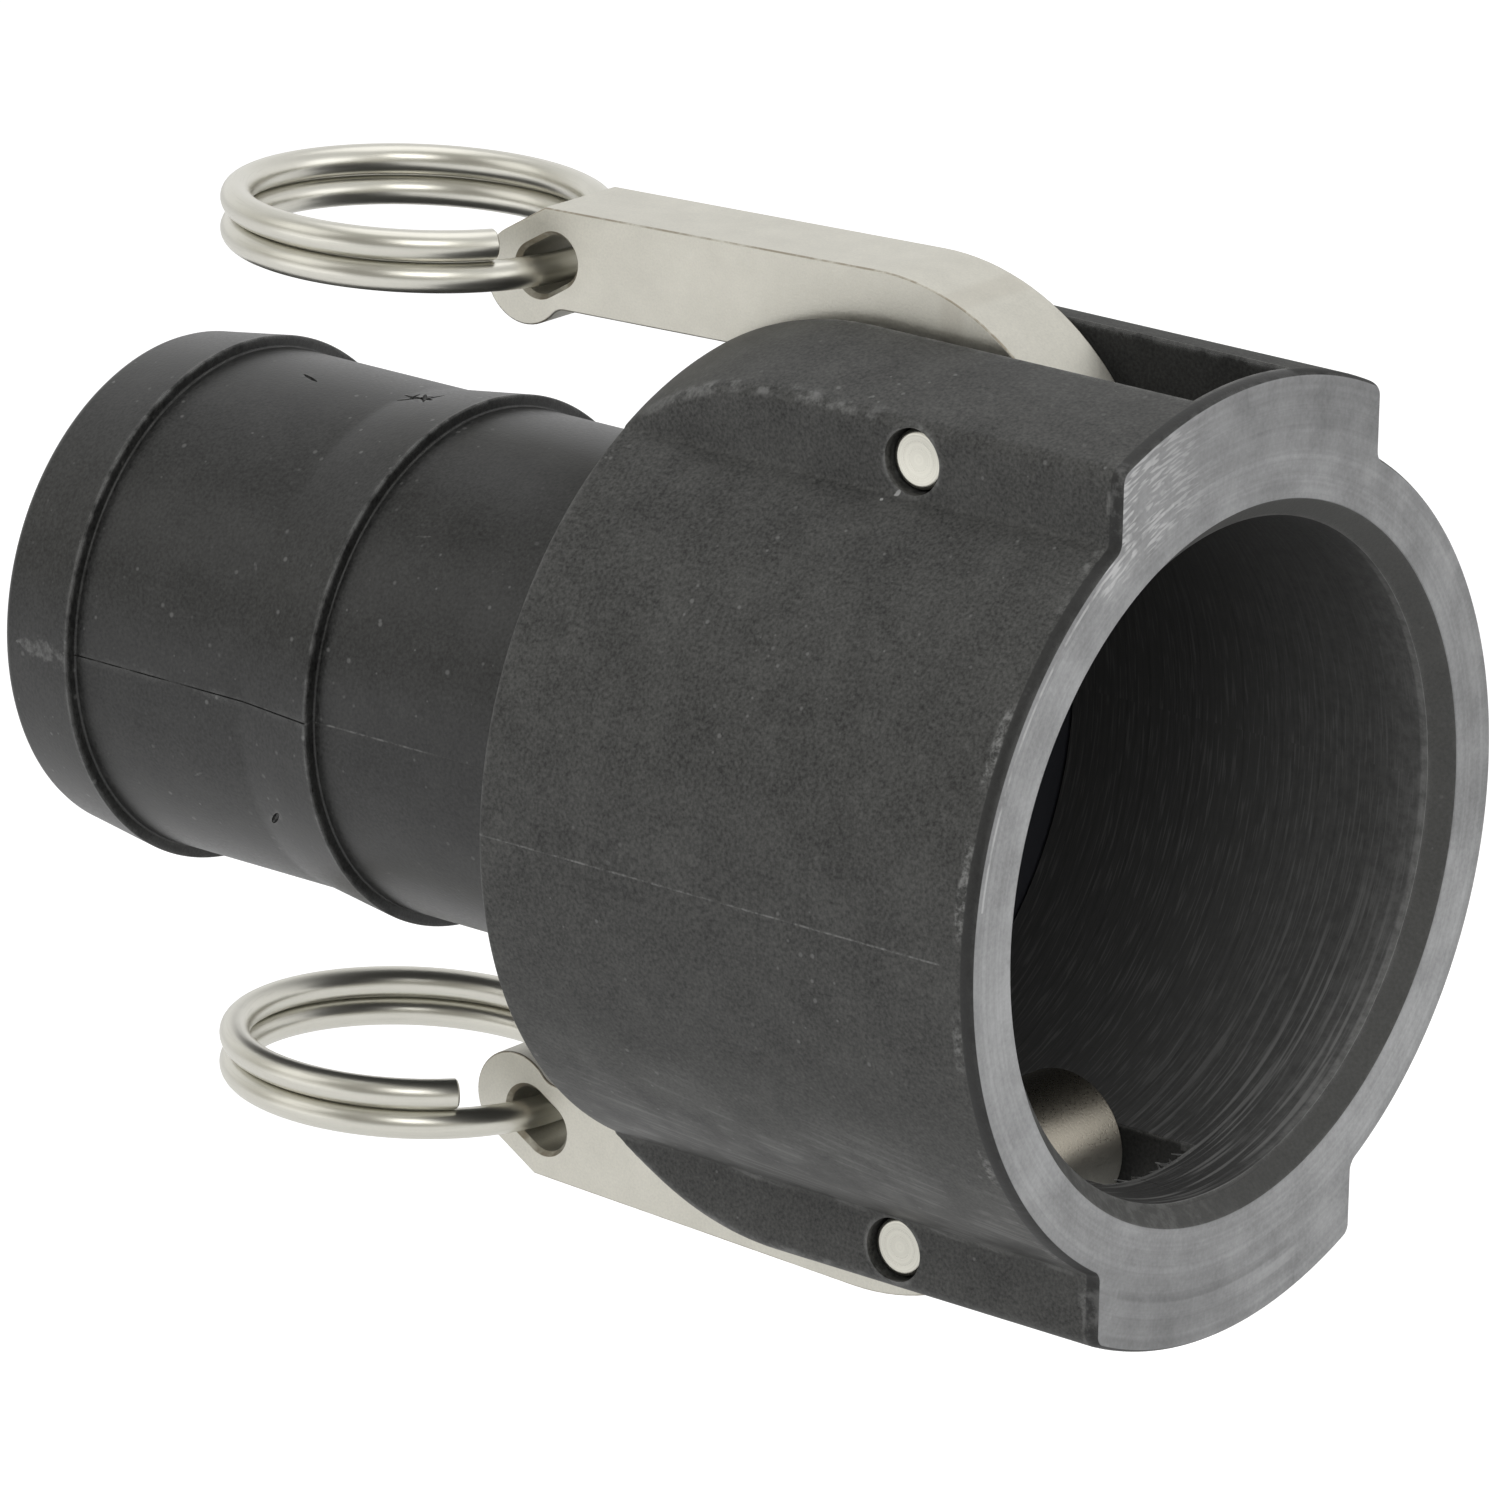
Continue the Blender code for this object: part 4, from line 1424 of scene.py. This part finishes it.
def skin_tone(place, turned, masks, grain, finish, sizes):
    """Moulded skin: mottled, with pale specks, smears low on the bell that are scratches with painted
    sheen, a dark machined rim and painted shade on the slot walls.
    """
    axial = turned["Axial"]
    bell = sizes.bell_radius
    tone = blend(masks["shank"], rgba(finish.bell), rgba(finish.shank))
    tone = shaded(tone, grain["Shade"])
    plain = (1.0 - masks["shank"]) * band(turned["Radius"], bell - sizes.rim_round, bell + 0.0003, 0.0003)
    slant = calc('MULTIPLY_ADD', axial, 0.22, turned["Turn"] * turned["Radius"])
    lines = hairlines(axial, slant, 0.011, 0.0006, 0.5)
    patchy = patches(place, 140.0, 3.0, 0.6, 0.38, 0.62)
    # Low on the near side of the bell the pale streaks are real scratches with painted sheen, and the
    # pale patch there is painted sheen
    low = turn_band(turned, -66.0, -44.0, 0.35)
    dusty = patches(place, 55.0, 2.0, 0.5, 0.40, 0.60, 0.2, 1.0)
    flecks = patches(place, 1300.0, 3.0, 0.7, 0.40, 0.68)
    clusters = patches(place, 95.0, 1.0, 0.5, 0.50, 0.62)
    rubbed = patches(place, 450.0, 4.0, 0.7, 0.42, 0.64)
    tone = tinted(
        tone, finish.scuff_and_painted_light,
        (lines * patchy * low * plain, 0.17),
        (patchy * low * plain, 0.11),
        (specks(place, 760.0, 0.12, 0.4) * dusty, 0.24),
        (specks(place, 230.0, 0.045, 0.2) * dusty, 0.24),
        (flecks * clusters * masks["rim edge"], 0.5),
        (rubbed * masks["ear edge"], 0.3),
        (rubbed * nick_mask(turned, RUBS), 0.28),
        (nick_mask(turned, CHIPS), 0.8),
    )
    tone = tinted(tone, finish.chamfer, (masks["chamfer"], 0.65))
    worn_entry = rubbed * masks["chamfer"] * turn_band(turned, -80.0, -40.0, 0.3)
    tone = tinted(tone, finish.scuff_and_painted_light, (worn_entry, 0.14))
    # The rim is darkened as its own colour; the slot walls are darkened as painted shade
    tone = tinted(tone, finish.crevice, (masks["rim"], 0.8), (masks["slot"], 0.55))
    return tinted(tone, finish.scuff_and_painted_light, (rubbed * masks["ear front"], 0.22))


def moulding_finish(sizes, finish):
    """Black glass-filled plastic: moulded outside, turned on the mouth face and in the bore."""
    made, shader, place = new_finish("black_moulding")
    turned = use("Turned Place", {"Vector": place})
    masks = body_masks(place, turned, sizes)
    grain = grained(place, 210.0, 2900.0, 1.3, 3.3)
    tone = skin_tone(place, turned, masks, grain, finish, sizes)
    worn = use("Worn Edge", {"Vector": place, "Reach": 0.0010, "Patch": 420.0, "Share": 0.52})
    tone = tinted(tone, finish.scuff_and_painted_light, (worn["Edge"], 0.45))
    bore, bore_height = bore_tone(place, turned, finish, sizes)
    face, face_height = face_tone(place, turned, finish)
    tone = blend(masks["bore"], tone, bore)
    tone = blend(masks["face"], tone, face)
    tone = tinted(tone, finish.scuff_and_painted_light, (masks["burr"], 0.14))
    tone = seam_tone(place, turned, masks, tone, finish, sizes)
    # The gouges are filled with painted shade, darker than their real hollows show
    tone = blend(masks["shank"] * nick_mask(turned, GOUGES), tone, rgba(finish.crevice))
    feed(shader["Base Color"], tone)
    feed(shader["Specular IOR Level"], 0.4)
    rough = calc('MULTIPLY_ADD', grain["Height"], 0.25, 0.55)
    rough = calc('MULTIPLY_ADD', masks["far ear"], 0.3, rough)
    feed(shader["Roughness"], calc('MULTIPLY_ADD', masks["shank"], -0.17, rough))
    turned_part = calc('MAXIMUM', masks["face"], masks["bore"])
    marks = blend(masks["face"], bore_height, face_height)
    bumped(shader, blend(turned_part, grain["Height"], marks), 0.00003, 0.7)
    return made


def seal_finish(finish):
    """Black rubber."""
    made, shader, place = new_finish("seal_rubber")
    grain = grained(place, 180.0, 3200.0, 0.3, 0.4)
    feed(shader["Base Color"], shaded(rgba(finish.seal), grain["Shade"]))
    feed(shader["Roughness"], grain["Height"] * 0.2 + 0.5)
    bumped(shader, grain["Height"], 0.00002, 0.5)
    return made


def arm_finish(finish):
    """Blasted stainless steel with a fine satin grain, a few pits and tarnished edges, browner cams with
    painted shade, and a faint painted reflection across the top.
    """
    made, shader, place = new_finish("blasted_steel")
    grain = grained(place, 240.0, 4200.0, 0.22, 0.34)
    tone = shaded(rgba(finish.arm), grain["Shade"])
    pits = specks(place, 420.0, 0.045, 0.14)
    tone = tinted(tone, finish.pit, (pits, 0.6))
    along, _, rise = parts_of(place)
    height = abs(rise)
    pin = pin_axis("upper")
    patchy = patches(place, 300.0, 4.0, 0.7, 0.34, 0.56)
    edge = patchy * band(sideways(place), 0.2, 0.9, 0.06)
    # The cams are browner and darker: a brown tone with painted shade, as they sit inside the socket
    cam = spread(height, pin.z - 0.0070, pin.z - 0.0030, 1.0, 0.0)
    # A faint dark band across the top where the head begins is a painted reflection of a dark part
    bend = band(along, -0.0312, -0.0298, 0.0012) * spread(height, pin.z, pin.z + 0.006)
    feed(shader["Base Color"], tinted(tone, finish.tarnish_shade_and_reflection, (edge, 0.8), (cam, 0.7), (bend, 0.14)))
    rough = calc('MULTIPLY_ADD', grain["Height"], 0.3, 0.48)
    feed(shader["Roughness"], calc('MULTIPLY_ADD', cam, -0.18, rough))
    feed(shader["Metallic"], 1.0)
    bumped(shader, grain["Height"] - pits, 0.00002, 0.7)
    return made


def pin_finish(finish):
    """Turned stainless steel, with tool marks round the middle of each end."""
    made, shader, place = new_finish("turned_steel")
    along, _, rise = parts_of(place)
    axis = pin_axis("upper")
    marks = tool_marks(place, from_middle(along - axis.x, abs(rise) - axis.z), 0.00032, 0.5, 0.6)
    feed(shader["Base Color"], shaded(rgba(finish.pin), marks["Shade"]))
    feed(shader["Roughness"], marks["Height"] * 0.2 + 0.3)
    feed(shader["Metallic"], 1.0)
    bumped(shader, marks["Height"], 0.00002, 0.5)
    return made


def wire_finish(finish):
    """Bright drawn wire with faint lines along it."""
    made, shader, place = new_finish("drawn_wire")
    along, around, _ = parts_of(out(add(made.node_tree, 'ShaderNodeUVMap', uv_map="wire")))
    lines = hairlines(along, around, 0.006, 0.00018, 0.42)
    grain = grained(place, 300.0, 2600.0, 0.08, 0.05)
    tone = shaded(rgba(finish.wire), grain["Shade"])
    feed(shader["Base Color"], tinted(tone, finish.pit, (lines, 0.05)))
    feed(shader["Roughness"], calc('MULTIPLY_ADD', lines, 0.04, 0.31))
    feed(shader["Metallic"], 1.0)
    bumped(shader, lines, 0.000004, 0.2)
    return made


def floor_finish():
    """Pale floor that is white to the camera and keeps the shadow; from below it is not seen."""
    made = bpy.data.materials.new("studio_floor")
    made.use_nodes = True
    tree = made.node_tree
    tree.nodes.clear()
    mottle = noise(out(add(tree, 'ShaderNodeTexCoord'), "Object"), 3.0)
    pale = grey(spread(mottle, 0.0, 1.0, 0.68, 0.72))
    matte = out(add(tree, 'ShaderNodeBsdfDiffuse', {"Color": pale}))
    path = add(tree, 'ShaderNodeLightPath')
    mirrored = calc('MAXIMUM', out(path, "Is Glossy Ray"), out(path, "Is Transmission Ray"))
    seen = calc('MULTIPLY_ADD', out(path, "Is Camera Ray"), 0.6, mirrored * 0.34)
    glow = out(add(tree, 'ShaderNodeEmission', {"Strength": seen}))
    lit = out(add(tree, 'ShaderNodeAddShader', {0: matte, 1: glow}))
    clear = out(add(tree, 'ShaderNodeBsdfTransparent'))
    below = out(add(tree, 'ShaderNodeNewGeometry'), "Backfacing")
    mixed = out(add(tree, 'ShaderNodeMixShader', {0: below, 1: lit, 2: clear}))
    add(tree, 'ShaderNodeOutputMaterial', {"Surface": mixed})
    return made


# Stage

WHITE = (1.0, 1.0, 1.0, 1.0)

# Tones round the coupler in the shine of the metal, from the far side to the near one
FAR_TO_NEAR = ((0.45, (0.97, 0.97, 0.96)), (0.82, (0.62, 0.61, 0.56)))
NEAREST = (0.30, 0.29, 0.26)

# Lamps: name, place, width in metres and power in watts
LAMPS = (
    ("left_lamp", (-0.75, -0.85, 0.75), 0.8, 1.8),
    ("right_lamp", (0.95, 0.25, 0.25), 0.8, 1.8),
    ("top_lamp", (-0.2, 0.2, 1.2), 1.0, 2.6),
    ("low_lamp", (-0.35, -0.55, -0.10), 0.5, 0.5),
    ("front_lamp", (0.60, -0.75, 0.75), 0.6, 3.0),
)

# Width of the camera's sensor in millimetres
SENSOR_WIDTH = 36.0


def build_world(stage):
    """White all round to the camera, soft light, and a dimmer near side in the shine of the metal."""
    world = bpy.data.worlds.new("studio")
    bpy.context.scene.world = world
    world.use_nodes = True
    tree = world.node_tree
    tree.nodes.clear()
    _, side, height = parts_of(out(add(tree, 'ShaderNodeTexCoord'), "Generated"))
    ramp = add(tree, 'ShaderNodeValToRGB', {0: spread(side, -1.0, 1.0, 1.0, 0.0)})
    stops = ramp.color_ramp.elements
    stops[0].color = WHITE
    stops[1].color = rgba(NEAREST)
    for place, tone in FAR_TO_NEAR:
        stops.new(place).color = rgba(tone)
    path = add(tree, 'ShaderNodeLightPath')
    mirrored = out(path, "Is Glossy Ray")
    around = shaded(out(ramp), spread(height, 0.30, 0.80, 1.0, 0.76))
    shine = blend(mirrored, WHITE, around)
    seen = calc('MAXIMUM', out(path, "Is Camera Ray"), mirrored)
    seen = calc('MAXIMUM', seen, out(path, "Is Transmission Ray"))
    soft = out(add(tree, 'ShaderNodeBackground', {"Color": WHITE, "Strength": stage.sky}))
    white = out(add(tree, 'ShaderNodeBackground', {"Color": shine, "Strength": 1.0}))
    mixed = out(add(tree, 'ShaderNodeMixShader', {0: seen, 1: soft, 2: white}))
    add(tree, 'ShaderNodeOutputWorld', {"Surface": mixed})


def add_lamp(name, place, size, power):
    """A square soft lamp that points at the middle of the coupler."""
    middle = (Vector(CAD_BOX[0]) + Vector(CAD_BOX[1])) / 2
    lamp = bpy.data.lights.new(name, 'AREA')
    lamp.size = size
    lamp.energy = power
    made = bpy.data.objects.new(name, lamp)
    made.location = place
    made.rotation_euler = (middle - Vector(place)).to_track_quat('-Z', 'Y').to_euler()
    bpy.context.scene.collection.objects.link(made)


def add_camera(stage):
    """The camera at the photograph's view."""
    turn = stage.view_azimuth
    rise = stage.view_elevation
    back = Vector((math.sin(turn) * math.cos(rise), -math.cos(turn) * math.cos(rise), math.sin(rise)))
    level = Vector((math.cos(turn), math.sin(turn), 0.0))
    upright = back.cross(level)
    right = level * math.cos(stage.view_roll) + upright * math.sin(stage.view_roll)
    up = back.cross(right)
    place = right * stage.view_side + up * stage.view_rise + back * stage.view_distance
    camera = bpy.data.cameras.new("camera")
    camera.sensor_width = SENSOR_WIDTH
    camera.lens = stage.lens
    camera.clip_start = 0.01
    made = bpy.data.objects.new("camera", camera)
    axes = Matrix((right, up, back)).transposed().to_4x4()
    made.matrix_world = Matrix.Translation(place) @ axes
    bpy.context.scene.collection.objects.link(made)
    bpy.context.scene.camera = made


# Operators


class COUPLER_OT_body(bpy.types.Operator):
    """Build the moulded body with its bosses, slots, barbs and socket."""

    bl_idname = "coupler.build_body"
    bl_label = "Moulded Body"

    def execute(self, context):
        sizes = context.scene.coupler_body
        material = moulding_finish(sizes, context.scene.coupler_finish)
        made = finished(body_mesh(sizes), "moulded_body", material)
        fitted(made, "body", "coupler_body")
        return {'FINISHED'}


class COUPLER_OT_seal(bpy.types.Operator):
    """Build the rubber seal at the bottom of the socket."""

    bl_idname = "coupler.build_seal"
    bl_label = "Seal"

    def execute(self, context):
        made = finished(seal_mesh(), "seal_ring", seal_finish(context.scene.coupler_finish))
        fitted(made, "body", "gasket")
        return {'FINISHED'}


class COUPLER_OT_pins(bpy.types.Operator):
    """Build the two pivot pins."""

    bl_idname = "coupler.build_pins"
    bl_label = "Pivot Pins"

    def execute(self, context):
        material = pin_finish(context.scene.coupler_finish)
        for side in SIDES:
            made = finished(pin_mesh(side), f"{side}_pivot_pin", material)
            fitted(made, "body", f"{side}_pin")
        return {'FINISHED'}


class COUPLER_OT_arms(bpy.types.Operator):
    """Build the two cam arms."""

    bl_idname = "coupler.build_arms"
    bl_label = "Cam Arms"

    def execute(self, context):
        material = arm_finish(context.scene.coupler_finish)
        for side in SIDES:
            made = finished(arm_mesh(side, context.scene.coupler_arm), f"{side}_cam_arm", material)
            fitted(made, f"{side}_arm", f"{side}_arm")
        return {'FINISHED'}


class COUPLER_OT_rings(bpy.types.Operator):
    """Build the two pull rings of wire."""

    bl_idname = "coupler.build_rings"
    bl_label = "Pull Rings"

    def execute(self, context):
        sizes = context.scene.coupler_ring
        face_y = context.scene.coupler_arm.half_width
        material = wire_finish(context.scene.coupler_finish)
        ends = {"upper": sizes.upper_end, "lower": sizes.lower_end}
        for side in SIDES:
            axis = JOINT_POINTS[f"{side}_ring_swing"]
            path = [axis + point for point in ring_path(sizes, face_y, ends[side])]
            mesh = wire_mesh("wire", path, sizes.wire_radius, sizes.end_edge)
            made = finished(mesh, f"{side}_pull_ring", material)
            fitted(made, f"{side}_ring", f"{side}_ring")
        return {'FINISHED'}


class COUPLER_OT_stage(bpy.types.Operator):
    """Set up the floor, the soft light and the camera."""

    bl_idname = "coupler.build_stage"
    bl_label = "Stage"

    def execute(self, context):
        stage = context.scene.coupler_stage
        solid = bmesh.new()
        bmesh.ops.create_grid(solid, x_segments=8, y_segments=8, size=stage.floor_size / 2)
        floor = placed(mesh_of(solid, "studio_floor"), "studio_floor")
        floor.location.z = CAD_BOX[0][2] - stage.floor_drop
        floor.data.materials.append(floor_finish())
        build_world(stage)
        for lamp in LAMPS:
            add_lamp(*lamp)
        add_camera(stage)
        context.scene.view_settings.view_transform = 'Standard'
        return {'FINISHED'}


class COUPLER_PT_looks(bpy.types.Panel):
    """Panel that lists the pieces of the coupler."""

    bl_idname = "COUPLER_PT_looks"
    bl_label = "Hose Coupler"
    bl_space_type = 'VIEW_3D'
    bl_region_type = 'UI'
    bl_category = "Coupler"

    def draw(self, context):
        for operator in OPERATORS:
            self.layout.operator(operator.bl_idname)
        for name in GROUPS:
            box = self.layout.box()
            settings = getattr(context.scene, name)
            for key in settings.__annotations__:
                box.prop(settings, key)


GROUPS = {
    "coupler_body": CouplerBodySizes,
    "coupler_arm": CouplerArmSizes,
    "coupler_ring": CouplerRingSizes,
    "coupler_finish": CouplerFinish,
    "coupler_stage": CouplerStage,
}
OPERATORS = (
    COUPLER_OT_body,
    COUPLER_OT_seal,
    COUPLER_OT_pins,
    COUPLER_OT_arms,
    COUPLER_OT_rings,
    COUPLER_OT_stage,
)


def register():
    """Register the settings, the operators and the panel."""
    for name, group in GROUPS.items():
        bpy.utils.register_class(group)
        setattr(bpy.types.Scene, name, bpy.props.PointerProperty(type=group))
    for operator in OPERATORS:
        bpy.utils.register_class(operator)
    bpy.utils.register_class(COUPLER_PT_looks)


def unregister():
    """Take the panel, the operators and the settings out again."""
    bpy.utils.unregister_class(COUPLER_PT_looks)
    for operator in reversed(OPERATORS):
        bpy.utils.unregister_class(operator)
    for name, group in GROUPS.items():
        delattr(bpy.types.Scene, name)
        bpy.utils.unregister_class(group)


def main():
    """Build every piece and the stage."""
    register()
    bpy.ops.coupler.build_body()
    bpy.ops.coupler.build_seal()
    bpy.ops.coupler.build_pins()
    bpy.ops.coupler.build_arms()
    bpy.ops.coupler.build_rings()
    bpy.ops.coupler.build_stage()


if __name__ == "__main__":
    main()
